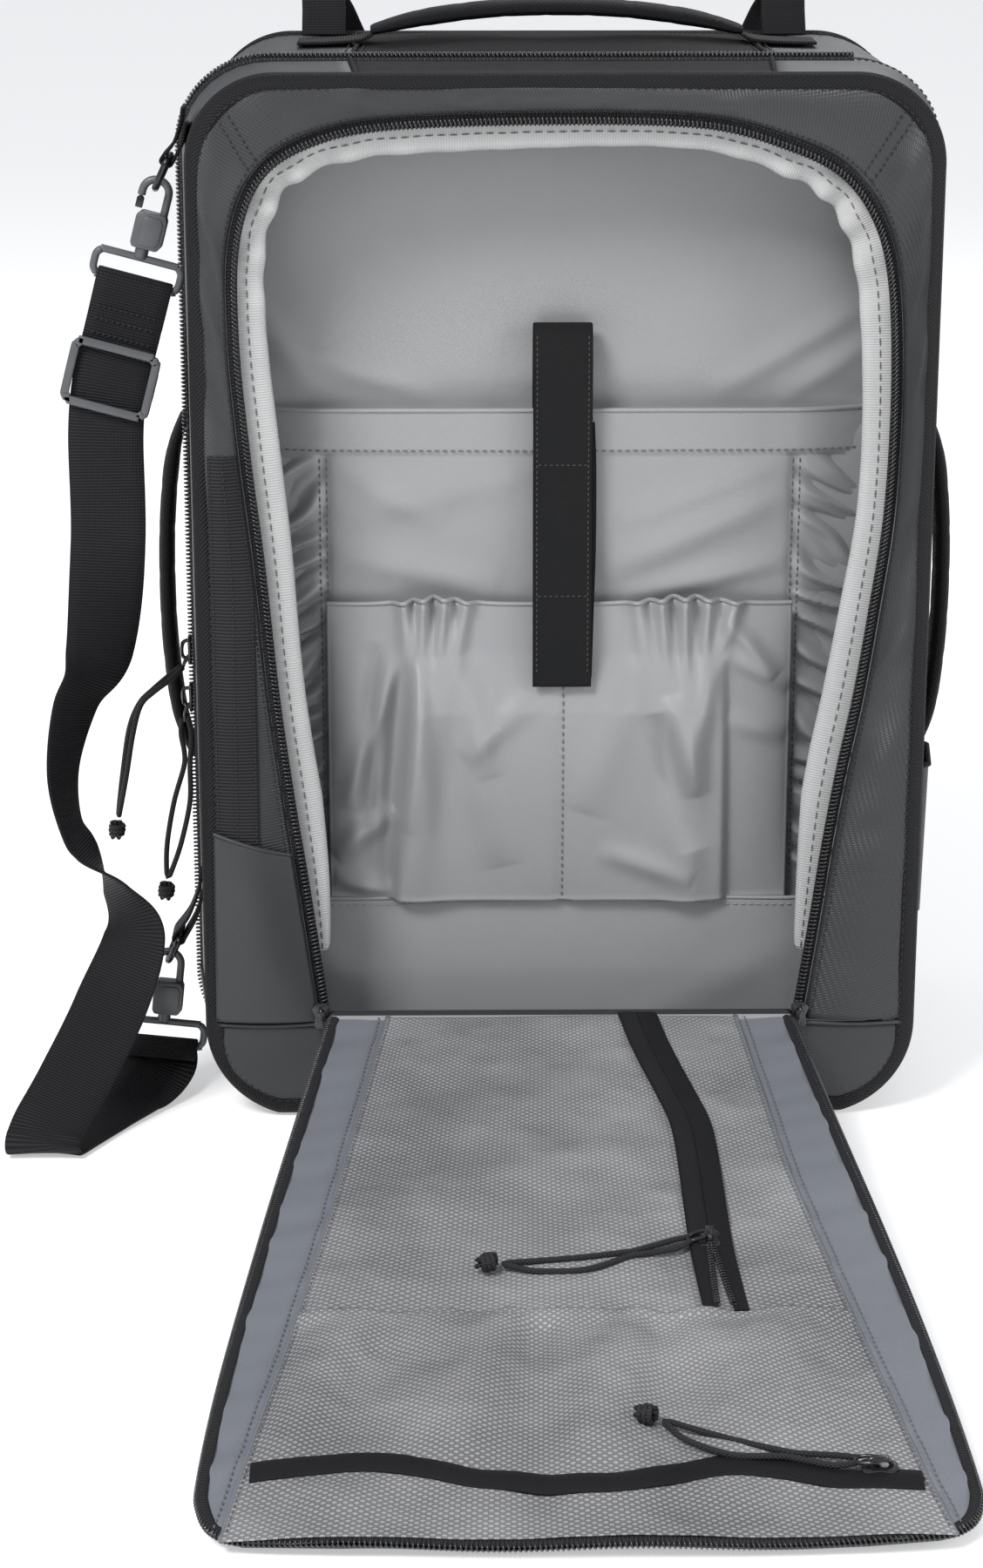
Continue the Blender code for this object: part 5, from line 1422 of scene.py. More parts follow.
def moulding(name, outline, low, high, finish, place, ease=0.0006):
    """A moulded block: an outline in its own x and z, from y = low to high, with eased edges."""
    bpy.ops.object.select_all(action="DESELECT")
    bpy.ops.mesh.primitive_circle_add(vertices=len(outline), fill_type="NGON")
    piece = bpy.context.object
    piece.name = piece.data.name = name
    for vertex, (x, z) in zip(piece.data.vertices, outline):
        vertex.co = (x, low, z)
    work = bmesh.new()
    work.from_mesh(piece.data)
    work.normal_update()
    if sum(face.normal.y for face in work.faces) > 0:
        bmesh.ops.reverse_faces(work, faces=work.faces)
    work.to_mesh(piece.data)
    work.free()
    give(piece, "SOLIDIFY", thickness=high - low, offset=-1.0)
    give(piece, "BEVEL", width=ease, segments=2, limit_method="ANGLE", angle_limit=math.radians(40))
    piece.data.materials.append(finish.material)
    piece.data.transform(place)
    bpy.ops.object.select_all(action="DESELECT")
    bpy.context.view_layer.objects.active = piece
    piece.select_set(True)
    bpy.ops.object.shade_smooth_by_angle(angle=math.radians(35))
    return piece


def placed(place, points):
    return [place @ Vector(point) for point in points]


LOOP_LOW, LOOP_HIGH, LOOP_HALF, HOOK_RADIUS = -0.0460, -0.0330, 0.0216, 0.0065
hooks = {"upper": (-0.1998, 0.4717, math.radians(15.0), -0.1850, 0.0180),
         "lower": (-0.2045, 0.0692, math.radians(6.0), -0.1860, 0.0260)}
for end, (hook_x, hook_z, tilt, wall_x, climb) in hooks.items():
    place = Matrix.Translation((hook_x, SLING_Y, hook_z)) @ Matrix.Rotation(tilt, 4, "Y")
    bend = [(HOOK_RADIUS, 0, -0.0130), (HOOK_RADIUS, 0, -0.0050)]
    bend += [(HOOK_RADIUS * math.cos(math.pi * step / 8), 0,
              HOOK_RADIUS * math.sin(math.pi * step / 8)) for step in range(9)]
    bend.append((-HOOK_RADIUS, 0, -0.0025))
    bight = swept("bight", through(placed(place, bend), 60), ring_of(0.0020, 12), moulded)
    grip = moulding("grip", ((-0.0056, -0.0280), (0.0070, -0.0280), (0.0092, -0.0245), (0.0092, -0.0125),
                             (0.0078, -0.0096),
                             (-0.0044, -0.0096), (-0.0066, -0.0125), (-0.0066, -0.0255)), -0.0045, 0.0045,
                             moulded, place, 0.0011)
    lid = moulding("lid", ((-0.0030, -0.0262), (0.0058, -0.0262), (0.0074, -0.0235), (0.0074, -0.0140),
                           (0.0060, -0.0116),
                           (-0.0016, -0.0116), (-0.0030, -0.0140)), -0.0052, -0.0038, moulded, place,
                           0.0006)
    collar = swept("collar", through(placed(place, ((0, 0, -0.0330), (0, 0, -0.0270))), 6),
                   ring_of(0.0034, 16), moulded)
    corner = 0.0045
    frame_line = []
    for cx, cz, first in ((LOOP_HALF - corner, LOOP_HIGH - corner, 0),
                          (-LOOP_HALF + corner, LOOP_HIGH - corner, 90),
                          (-LOOP_HALF + corner, LOOP_LOW + corner, 180),
                          (LOOP_HALF - corner, LOOP_LOW + corner, 270)):
        for step in range(5):
            turn = math.radians(first + 22.5 * step)
            frame_line.append((cx + corner * math.cos(turn), 0, cz + corner * math.sin(turn)))
    line = through(placed(place, frame_line), 140, closed=True)
    loop = swept("loop", line, ring_of(0.0019, 12), moulded, closed=True)
    hook = joined([grip, lid, bight, collar, loop], "sling_hook_%s_body" % end)
    dress(hook, "front_section", ("sling_hook_" + end,))
    gate = moulding("sling_gate_%s_latch" % end,
                    ((-0.0083, -0.0088), (-0.0047, -0.0088), (-0.0047, -0.0040), (-0.0058, -0.0029),
                                                 (-0.0074, -0.0029), (-0.0083, -0.0040)), -0.0018, 0.0018,
                                                 metal, place, 0.0004)
    dress(gate, "sling_gate_" + end, ("sling_gate_" + end,))
    bar = np.array([hook_x + 0.0160 * math.sin(RING_LEAN), SLING_Y,
                    hook_z + 0.0023 + 0.0160 * math.cos(RING_LEAN)])
    half, drop = 0.0125, 0.0160
    shape = [(-half, 0.0), (-half, -0.0040)]
    shape += [(-half * math.cos(math.pi * step / 8),
               -0.0040 - (drop - 0.0040) * math.sin(math.pi * step / 8)) for step in range(1, 8)]
    shape += [(half, -0.0040), (half, 0.0), (half * 0.34, 0.0), (-half * 0.34, 0.0)]
    ring = [(bar[0] + b * math.sin(RING_LEAN), bar[1] + a, bar[2] + b * math.cos(RING_LEAN)) for a,
            b in shape]
    wire = swept("dring_%s_wire" % end, through(ring, 90, closed=True), ring_of(0.00175, 12), metal,
                 closed=True)
    dress(wire, "dring_" + end, ("dring_" + end,))
    around = 0.00175 + 0.0012
    tab_run = [(wall_x, SLING_Y, bar[2] + climb + 0.0075), (wall_x - 0.0012, SLING_Y, bar[2] + climb),
               ((wall_x + bar[0]) / 2 - around * 0.3, SLING_Y, bar[2] + climb * 0.45)]
    tab_run += [(bar[0] - around * math.cos(math.radians(turn)), SLING_Y,
                 bar[2] - around * math.sin(math.radians(turn)))
                for turn in (-20, 30, 80, 130, 180)]
    tab_run += [((wall_x + bar[0]) / 2 + around, SLING_Y, bar[2] + climb * 0.42),
                (wall_x + 0.0012, SLING_Y, bar[2] + climb * 0.95)]
    tab_line = through(tab_run, 80)
    tab = swept("dring_tab_%s_fold" % end, tab_line, ribbon(0.0200, 0.0016), webbing,
                sides=np.tile([0, 1.0, 0], (80, 1)))
    dress(tab, "front_section", ("dring_tab_" + end,))

# The sling is one 38 mm nylon webbing. It loops through the upper hook, is stitched back on itself,
# carries a three-bar adjuster, falls in a twist to the floor, folds over and runs to the lower hook.


def below(end, distance, forward=0.0):
    """A point down a hook's own line, and this far in front of it."""
    hook_x, hook_z, tilt = hooks[end][:3]
    return (hook_x - distance * math.sin(tilt), SLING_Y - forward, hook_z - distance * math.cos(tilt))


wrap = 0.0019 + 0.0009 + 0.0007
rounds = {end: [below(end, -LOOP_LOW - wrap * math.sin(math.radians(turn)),
                      wrap * math.cos(math.radians(turn))) for turn in turns]
          for end, turns in (("upper", range(180, -1, -45)), ("lower", range(270, 44, -45)))}
level = (math.cos(hooks["upper"][2]), 0, -math.sin(hooks["upper"][2]))
route = [below("upper", -LOOP_LOW + 0.0200, -0.0008), below("upper", -LOOP_LOW + 0.0100, -0.0022),
         *rounds["upper"]]
route += [below("upper", -LOOP_LOW + down, front) for down,
          front in ((0.0100, 0.0024), (0.0200, 0.0020), (0.0300, 0.0026))]
wide = [level] * len(route)
GLIDE_PLACE = (-0.2244, -0.0735, 0.3806)
hanging = ((GLIDE_PLACE, level), ((-0.2278, -0.0735, 0.3520), (1, 0, -0.18)),
           ((-0.2282, -0.0760, 0.2975), (1, 0, -0.06)),
           ((-0.2345, -0.0780, 0.2390), (0.84, 0.50, 0)), ((-0.2470, -0.0810, 0.2130), (0.56, 0.83, 0)),
           ((-0.2540, -0.0850, 0.1800), (0.32, 0.95, 0)), ((-0.2510, -0.0880, 0.1520), (0.10, 1.00, 0.10)),
           ((-0.2430, -0.0900, 0.1380), (-0.10, 0.97, 0.25)),
           ((-0.2290, -0.0940, 0.1190), (-0.45, 0.80, -0.20)),
           ((-0.2190, -0.0990, 0.0960), (-0.85, 0.45, -0.20)),
           ((-0.2310, -0.1120, 0.0620), (-0.97, 0.10, 0.15)),
           ((-0.2470, -0.1350, 0.0330), (-1, 0, 0.06)), ((-0.2590, -0.1555, 0.0160), (-1, 0, 0)),
           ((-0.2618, -0.1640, 0.0105), (-1, 0, 0)), ((-0.2622, -0.1668, 0.0064), (-1, 0, 0)),
           ((-0.2615, -0.1645, 0.0033), (-1, 0, 0)), ((-0.2600, -0.1595, 0.0021), (-1, 0, 0)),
           ((-0.2540, -0.1480, 0.0019), (-1, 0.20, 0)), ((-0.2400, -0.1220, 0.0018), (-1, 0.35, 0)),
           ((-0.2240, -0.0980, 0.0048), (-1, 0.20, 0)))
route += [point for point, across in hanging]
wide += [across for point, across in hanging]
flat = (-math.cos(hooks["lower"][2]), 0, math.sin(hooks["lower"][2]))
ending = [below("lower", -LOOP_LOW + 0.0085, 0.0110), *rounds["lower"],
          below("lower", -LOOP_LOW + 0.0030, 0.0115)]
route += ending
wide += [flat] * len(ending)
sling_line = through(route, 620)
knots = np.array(route)
run = np.concatenate([[0.0], np.cumsum(np.linalg.norm(np.diff(knots, axis=0), axis=1))])
share = np.linspace(0.0, 1.0, 620) * run[-1]
sling_side = np.stack([np.interp(share, run, np.array(wide, float)[:, k]) for k in range(3)], axis=-1)
sling = swept("sling_strap", sling_line, ribbon(0.0380, 0.0018), webbing, sides=sling_side)
dress(sling, "front_section", ("sling_webbing",))

ahead = np.gradient(sling_line, axis=0)
ahead /= np.linalg.norm(ahead, axis=1)[:, None]
side_way = sling_side - ahead * np.einsum("ij,ij->i", sling_side, ahead)[:, None]
side_way /= np.linalg.norm(side_way, axis=1)[:, None]
first_down = int(np.argmin(np.abs(sling_line[:, 2] - 0.4090) + (np.arange(620) < 40)))
rows = []
for index in (first_down - 4, first_down + 2, first_down + 9, first_down + 16):
    across = np.linspace(-0.0155, 0.0155, 14)
    rows.append(sling_line[index] + side_way[index] * across[:, None] + [0, -0.0013, 0])
dress(stitched("sling_stitching", rows, thread_black, pitch=0.0026, wide=0.0006), "front_section")

# Three-bar adjuster: the webbing bulges forward over its middle bar.
place = Matrix.Translation(GLIDE_PLACE) @ Matrix.Rotation(hooks["upper"][2], 4, "Y")
half, tall = 0.0226, 0.0175
outer = []
for cx, cz, first in ((half - 0.0065, tall - 0.0065, 0), (-half + 0.0065, tall - 0.0065, 90),
                      (-half + 0.0065, -tall + 0.0065, 180), (half - 0.0065, -tall + 0.0065, 270)):
    for step in range(5):
        turn = math.radians(first + 22.5 * step)
        outer.append((cx + 0.0044 * math.cos(turn), -0.0030, cz + 0.0044 * math.sin(turn)))
line = through(placed(place, outer), 150, closed=True)
bar_shape = [(-0.0021, -0.0010), (-0.0014, -0.0014), (0.0014, -0.0014), (0.0021, -0.0010),
             (0.0021, 0.0010), (0.0014, 0.0014), (-0.0014, 0.0014), (-0.0021, 0.0010)]
centre = np.array(place @ Vector((0, -0.0030, 0)))
frame_ring = swept("frame", line, bar_shape, moulded, sides=line - centre, closed=True)
middle = moulding("middle", ((-half, -0.0030), (half, -0.0030), (half, 0.0030), (-half, 0.0030)), 0.0014,
                  0.0040, moulded, place)
rails = [moulding("rail", ((low, -0.0070), (low + 0.0022, -0.0070), (low + 0.0022, 0.0070), (low, 0.0070)),
                  -0.0040, 0.0040,
                  moulded, place) for low in (-half, half - 0.0022)]
glide = joined([frame_ring, middle, *rails], "tri_glide_frame")
dress(glide, "tri_glide", ("tri_glide",))

# ---------------------------------------------------------------- zip round the side, and its sliders
# The front section opens from the rear one like a suitcase: the same black coil on black tape runs
# over the top, down the left side and along the bottom, with two sliders meeting head to head.

ZIP_FOOT = -0.131 / length_of(bag_line)
top_half = (shares > 0.3) & (shares < 0.5)
ZIP_HEAD = 1.0 - float(np.interp(-0.139, bag_line[top_half, 0], shares[top_half]))


def round_side(share):
    """Shares of the zipped part: along the base from the right, up the left side and over the top."""
    return np.mod(ZIP_FOOT + (ZIP_HEAD - ZIP_FOOT) * share, 1.0)


def middle_line(y, out=0.0):
    share = round_side(np.linspace(0.0, 1.0, 1500))
    return on_wall(share, y + 0 * share, out)


for label, y, toward, nodes, body in (("front", SEAM - 0.0018, 0.01, "clamshell_coil_front",
                                       "front_section"),
                                      ("rear", SEAM + 0.0018, -0.01, "clamshell_coil_rear",
                                       "rear_section")):
    line = middle_line(y, 0.0016)
    side = middle_line(y + toward, 0.0016) - line
    line[:, 2] = np.maximum(line[:, 2], 0.0021)
    teeth = coil_of("side_zip_teeth_" + label, line, side, half=0.0017, tall=0.0013)
    dress(teeth, body, (nodes,))
    tape_out = -0.0108 if label == "front" else 0.0108

    def side_tape(u, v):
        share = round_side(u)
        start = 0.0006 if label == "rear" else -0.0006
        spots = on_wall(share, SEAM + start + tape_out * v, 0.0003 + 0.0007 * np.sin(math.pi * v))
        spots[..., 2] = np.maximum(spots[..., 2], 0.0010)
        return spots

    strip_piece = laid("side_zip_tape_" + label, 520, 8, side_tape, grosgrain, thick=0.0008,
                       away=(0, -0.025, 0.27))
    dress(strip_piece, body)
    rows = [on_wall(round_side(np.linspace(0, 1, 900)), SEAM + tape_out * 0.86 + np.zeros(900), 0.0008)]
    dress(stitched("side_zip_stitching_" + label, rows, thread_black), body)


def zip_slider(label, body, centre, along, up, scale, finish, nodes):
    """A cast slider: waisted plate, a bridge over it, and a small crown on the bridge. The bail the cord is
    hitched through is not made here.
    """
    along, up = Vector(along).normalized(), Vector(up).normalized()
    side = up.cross(along)
    place = Matrix((( side.x, -up.x, along.x, centre[0]), (side.y, -up.y, along.y, centre[1]),
                    (side.z, -up.z, along.z, centre[2]), (0, 0, 0, 1)))
    half, long = 0.0046 * scale, 0.0066 * scale
    outline = [(-half * 0.98, -long * 0.72), (-half * 0.72, -long), (half * 0.72, -long),
               (half * 0.98, -long * 0.72),
               (half * 0.74, 0.0), (half, long * 0.62), (half * 0.46, long), (-half * 0.46, long),
               (-half, long * 0.62),
               (-half * 0.74, 0.0)]
    plate = moulding("plate", outline, -0.0010 * scale, 0.0006 * scale, finish, place, 0.0005 * scale)
    bridge = [(0, -0.0006 * scale, -long * 0.66), (0, -0.0034 * scale, -long * 0.56),
              (0, -0.0040 * scale, 0.0),
              (0, -0.0030 * scale, long * 0.5), (0, -0.0006 * scale, long * 0.66)]
    arch = swept("bridge", through([place @ Vector(point) for point in bridge], 24),
                 ring_of(0.0009 * scale, 10), finish)
    crown = moulding("crown", [(-half * 0.42, -long * 0.5), (half * 0.42, -long * 0.5),
                               (half * 0.42, long * 0.5), (-half * 0.42, long * 0.5)],
                     -0.0044 * scale, -0.0034 * scale, finish, place, 0.0005 * scale)
    piece = joined([plate, arch, crown], label)
    dress(piece, body, nodes)
    return place


for side, z, ahead in (("upper", 0.2275, 1.0), ("lower", 0.2014, -1.0)):
    zip_slider("side_slider_%s_cast" % side, "side_slider_" + side, (-0.1922, SEAM, z), (0, 0, ahead),
               (-1, 0, 0.05), 1.15,
               glossy, ("side_slider_" + side,))
    start = {"upper": (-0.1965, -0.0265, 0.2185), "lower": (-0.1960, -0.0265, 0.1905)}[side]
    bail = [(-0.1935, SEAM - 0.0030, z - 0.004), (-0.1955, SEAM - 0.0032, z - 0.007),
            (start[0] + 0.0002, SEAM - 0.0022, start[2] - 0.0004),
            (start[0] - 0.0006, SEAM - 0.0010, start[2] - 0.0014),
            (start[0] + 0.0002, SEAM + 0.0012, start[2] - 0.0004),
            (-0.1955, SEAM + 0.0024, z - 0.007), (-0.1935, SEAM + 0.0022, z - 0.004)]
    piece = swept("side_slider_%s_bail" % side, through(bail, 40), ring_of(0.0009, 10), glossy)
    dress(piece, "side_slider_" + side)
for sign, side in ((-1, "left"), (1, "right")):
    zip_slider("front_slider_%s_cast" % side, "front_slider_" + side,
               (sign * 0.1228, FRONT - 0.0032, 0.0560), (sign * 0.13, 0, 1.0),
               (0, -1, 0), 1.05, glossy, ("front_slider_" + side,))
for label, x, rise, v, end in (("vertical", 0.0612, 0.0052, 0.2277, (-0.0400, 0.2530)),
                               ("horizontal", 0.1180, 0.0072, 0.4090, (0.0248, 0.3756))):
    up = on_flap(0, 0, 1.0) - on_flap(0, 0, 0)
    ahead = (on_flap(0.06, 0.0, 0) - on_flap(0.04, 0.3, 0)) if label == "vertical" else np.array([1.0, 0,
        0])
    centre = on_flap(x, v, rise)
    place = zip_slider("mesh_slider_%s_cast" % label, "mesh_slider_" + label, centre, ahead, up, 1.15,
                       glossy,
                       ("mesh_slider_" + label,))
    toward = np.array([end[0] - x, end[1] - v])
    toward /= np.linalg.norm(toward)
    aside = np.array([toward[1], -toward[0]])
    bail = [on_flap(x + toward[0] * reach + aside[0] * wide, v + toward[1] * reach + aside[1] * wide,
                    rise + lift)
            for reach, wide, lift in ((0.0, 0.0018, 0.0034), (0.0040, 0.0026, 0.0030),
                                      (0.0085, 0.0024, 0.0020), (0.0108, 0.0, 0.0016),
                                      (0.0085, -0.0024, 0.0020), (0.0040, -0.0026, 0.0030),
                                      (0.0, -0.0018, 0.0034))]
    piece = swept("mesh_slider_%s_bail" % label, through(bail, 40), ring_of(0.0009, 10), glossy)
    dress(piece, "mesh_slider_" + label)

# ---------------------------------------------------------------- rear section
# The deep main compartment: the same coated walls and boot, a black top, nylon lining, a twill back
# panel with a polyethylene sheet and an aluminium stay behind the lining, and a moulded back pad.

REAR_START = edge_of("rear_gusset", 0, 1)
for name, first, last, finish, seeds, slot, nodes in (
        ("rear_wall_left", BOOT_SHARE, TOP_LEFT, coated, (2, 6, 9), "coated_twill", ("rear_gusset",)),
        ("rear_wall_top", TOP_LEFT, 1 - TOP_LEFT, plain_black, (1, 4, 8), "black_twill", ()),
        ("rear_wall_right", 1 - TOP_LEFT, 1 - BOOT_SHARE, coated, (3, 5, 7), "coated_twill", ()),
        ("rear_boot_left", 0.0, BOOT_SHARE, coated_boot, (1, 3), "coated_twill", ("rear_boot",)),
        ("rear_boot_right", 1 - BOOT_SHARE, 1.0, coated_boot, (2, 3), "coated_twill", ())):
    wall = wall_cloth(name, first, last, REAR_START, 0.1062, 0.0, finish, seeds,
                      relief=0.0 if "boot" in name else 0.0022, dome=0.0060 if "top" in name else 0.0)
    if "wall" in name:
        cloth(wall)
    dress(wall, "rear_section", nodes)
inner = wall_cloth("rear_wall_lining", 0.0005, 0.9995, REAR_START + 0.001, 0.1000, -0.0040, lining,
                   (5, 8, 10), relief=0.0020, thick=0.0006)
dress(cloth(inner), "rear_section")
rows = []
for side in (-1, 1):
    y = np.linspace(REAR_START + 0.002, 0.104, 90)
    rows.append(on_wall(share_at(0.0555, side) + 0 * y, y, 0.0005))
    top_share = TOP_LEFT if side < 0 else 1 - TOP_LEFT
    rows.append(on_wall(top_share + side * 0.0022 + 0 * y, y, 0.0009))
    rows.append(on_wall(top_share - side * 0.0022 + 0 * y, y, 0.0009))
rows.append(on_wall(np.linspace(BOOT_SHARE, 1 - BOOT_SHARE, 900), 0.0995 + np.zeros(900), 0.0006))
dress(stitched("rear_wall_stitching", rows, thread_black), "rear_section")
for body, front, back in (("front_section", -0.1040, FRONT_BACK), ("rear_section", REAR_START, 0.1040)):
    for side, label in ((-1, "left"), (1, "right")):
        y = np.linspace(front, back, 70)
        top_share = TOP_LEFT if side < 0 else 1 - TOP_LEFT
        seam = swept("%s_top_seam_%s" % (body, label), on_wall(top_share + 0 * y, y, 0.0006),
                     ring_of(0.0013, 8), plain_black)
        dress(seam, body)
        roll = swept("%s_boot_seam_%s" % (body, label), on_wall(share_at(0.052, side) + 0 * y, y, 0.0004),
                     ring_of(0.0012, 8), coated_boot)
        dress(roll, body)


def faced(name, inset, relief, y, finish, thick, away, count=60):
    """A panel filling the bag's outline, with a shape given by relief(x, z)."""
    def surface(u, v):
        z = 0.0015 + inset + (TALL - 2 * inset - 0.003) * v
        half = round_half(z, HALF - inset, inset, TALL - inset, LOW_RADIUS - inset, HIGH_RADIUS - inset)
        x = (2 * u - 1) * half
        return np.stack([x, y + relief(x, z), z], axis=-1)
    return laid(name, count, int(count * 1.45), surface, finish, thick=thick, away=away)


back_cloth = faced("back_panel_cloth", 0.0010, lambda x, z: -0.0004 * ripples(x, z, (2, 5, 9)) - 0.0006,
                   BACK - 0.0012, plain_black,
                   0.0016, (0, 0, 0.27), 110)
dress(cloth(back_cloth), "rear_section", ("back_panel",))
back_lining = faced("back_panel_lining", 0.0080,
                    lambda x, z: -0.0022 * np.exp(-(x / 0.02) ** 2) + 0.0012 * ripples(x, z, (4, 7)),
                    0.0930, lining, 0.0006, (0, 0.3, 0.27), 80)
dress(cloth(back_lining), "rear_section")
share = np.linspace(0, 1, 1200)
rear_line = on_wall(share, BACK - 0.0028 + 0 * share, -0.0021)
rear_side = on_wall(share, BACK - 0.0028 + 0 * share, 0.01) - rear_line
rear_line[:, 2] = np.maximum(rear_line[:, 2], 0.0046)
rear_fold = [(x, -y) for x, y in fold[::-1]]
rear_binding = swept("rear_edge_binding", rear_line, rear_fold, binding_cloth, sides=rear_side, closed=True)
dress(rear_binding, "rear_section")

foam = twill("foam_mesh_cloth", (0.006, 0.006, 0.007), (0.032, 0.032, 0.035), 0.80, 0.0028, 0.0006,
             specular_ior_level=0.3)


PAD_LOW, PAD_HIGH = edge_of("back_pad", 0, 2), edge_of("back_pad", 1, 2)


def pad_surface(u, v):
    z = PAD_LOW + 0.390 * v
    half = 0.1205 + 0.0095 * v
    corner = 0.028
    end = np.clip((corner - np.minimum(z - PAD_LOW, PAD_HIGH - z)) / corner, 0, 1)
    half = half - corner * (1 - np.sqrt(1 - end ** 2 * 0.999))
    x = (2 * u - 1) * half
    edge = np.minimum(np.minimum(half - np.abs(x), z - PAD_LOW), PAD_HIGH - z)
    crown = 0.0068 * np.sin(np.clip(edge / 0.018, 0, 1) * math.pi / 2) ** 0.7
    channel = 0.0058 * np.exp(-(x / 0.013) ** 2)
    for height in (0.135, 0.210, 0.285, 0.360):
        bow = height + 0.012 * np.cos(x / 0.12 * math.pi / 2) - 0.012
        channel = np.maximum(channel, 0.0050 * np.exp(-((z - bow) / 0.0052) ** 2)
                             * np.clip((half - np.abs(x)) / 0.012, 0, 1))
    return np.stack([x, BACK + 0.0018 + crown - channel * np.clip(edge / 0.006, 0, 1), z], axis=-1)


pad = laid("back_pad_shell", 120, 180, pad_surface, foam, thick=0.0016, away=(0, 0, 0.25))
dress(pad, "rear_section", ("back_pad",))

# Frame parts inside the back panel and floor keep their own shapes and take plain finishes.
board = Finish("white_polyethylene", (0.62, 0.62, 0.60), 0.42)
board.feed("Roughness", board.clouds(40.0) * 0.15 + 0.35)
alloy = Finish("bare_alloy", (0.62, 0.63, 0.65), 0.3, metallic=0.95)
alloy.feed("Roughness", alloy.clouds(90.0) * 0.2 + 0.22)
for node, finish in (("frame_sheet", board), ("base_board", board), ("frame_stay", alloy)):
    solid = bpy.data.objects[node]
    solid.data.materials.clear()
    solid.data.materials.append(finish.material)

# Right side: the cloth hinge the two sections turn on, bridged by a strip of black twill, and two stretch
# bottle pockets, one on each section, standing a little off the wall.


def hinge_surface(u, v):
    share = share_at(0.480, 1) + (share_at(0.060, 1) - share_at(0.480, 1)) * u
    return on_wall(share, SEAM - 0.0120 + 0.0240 * v, 0.0008 + 0.0010 * np.sin(math.pi * v))


bridge = laid("side_hinge_cloth", 120, 24, hinge_surface, plain_black, thick=0.0010, away=(0, -0.025, 0.27))
cloth(bridge)
SEAM + 0.0060
SEAM - 0.0060
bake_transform(bridge)


def bottle_surface(u, v):
    z = 0.150 - 0.094 * u
    y = -0.0140 + 0.1050 * v
    z = z - 0.020 * (1 - u) * v
    stand = 0.0085 * np.sin(math.pi * np.clip(v * 0.94 + 0.03, 0, 1)) ** 0.6 * (1 - 0.85 * u) + 0.0016
    gather = 0.0008 * np.sin(y * 520) * np.exp(-u * 5)
    share = np.interp(-z, -bag_line[~left_half, 1][:750][::1], shares[~left_half][:750])
    return on_wall(share, y, stand + gather)


bottle = laid("bottle_pocket_right", 60, 60, bottle_surface, coated, thick=0.0012, away=(0, 0.04, 0.2))
dress(cloth(bottle), "rear_section")
v = np.linspace(0, 1, 80)
dress(swept("bottle_pocket_hem", bottle_surface(0 * v, v), ring_of(0.0018, 8), plain_black),
      "rear_section")


def side_pocket_surface(u, v):
    z = 0.186 - 0.0790 * u - 0.010 * (1 - u) * v
    share = np.interp(-z, -bag_line[~left_half, 1][:750], shares[~left_half][:750])
    stand = 0.0042 * np.clip(np.minimum(v, 1 - v) / 0.06, 0, 1) ** 0.5 * (1 - 0.4 * u) + 0.0012
    return on_wall(share, -0.1015 + 0.0720 * v, stand)


side_pocket = laid("bottle_pocket_front", 40, 40, side_pocket_surface, coated, thick=0.0012,
                   away=(0, -0.06, 0.2))
dress(cloth(side_pocket), "front_section")
dress(swept("bottle_pocket_front_hem", side_pocket_surface(0 * v, v), ring_of(0.0014, 8), plain_black),
      "front_section")

# ---------------------------------------------------------------- handles
# Each is a padded sleeve of black twill, its ends flattened and sewn down under a strip of webbing.


def padded_grip(name, points, across, wide, thick, finish, seams, grip_body, nodes):
    """A soft bar of padding: oval in section, flattening towards its stitched ends."""
    line = through(points, 150)
    sides = np.tile(across, (150, 1)).astype(float)
    ahead = np.gradient(line, axis=0)
    ahead /= np.linalg.norm(ahead, axis=1)[:, None]
    up = np.cross(ahead, sides)
    count = 22

    def surface(u, v):
        i = np.rint(u * 149).astype(int)
        j = np.rint(v * count).astype(int) % count
        angle = 2 * math.pi * j / count
        share = i / 149.0
        full = np.clip(np.minimum(share, 1 - share) / 0.16, 0, 1) ** 0.5
        puff = 0.45 + 0.55 * full
        creases = 1.0 - 0.10 * np.clip(np.sin(share * seams * math.pi * 2) - 0.55, 0, 1) * full
        x = np.sign(np.cos(angle)) * np.abs(np.cos(angle)) ** 0.7 * wide / 2 * (0.86 + 0.14 * full)
        y = np.sign(np.sin(angle)) * np.abs(np.sin(angle)) ** 0.9 * thick / 2 * puff * creases
        return line[i] + sides[i] * x[:, None] + up[i] * y[:, None]

    grip = laid(name, 149, count, surface, finish, rolled="v")
    dress(grip, grip_body, nodes)
    return line


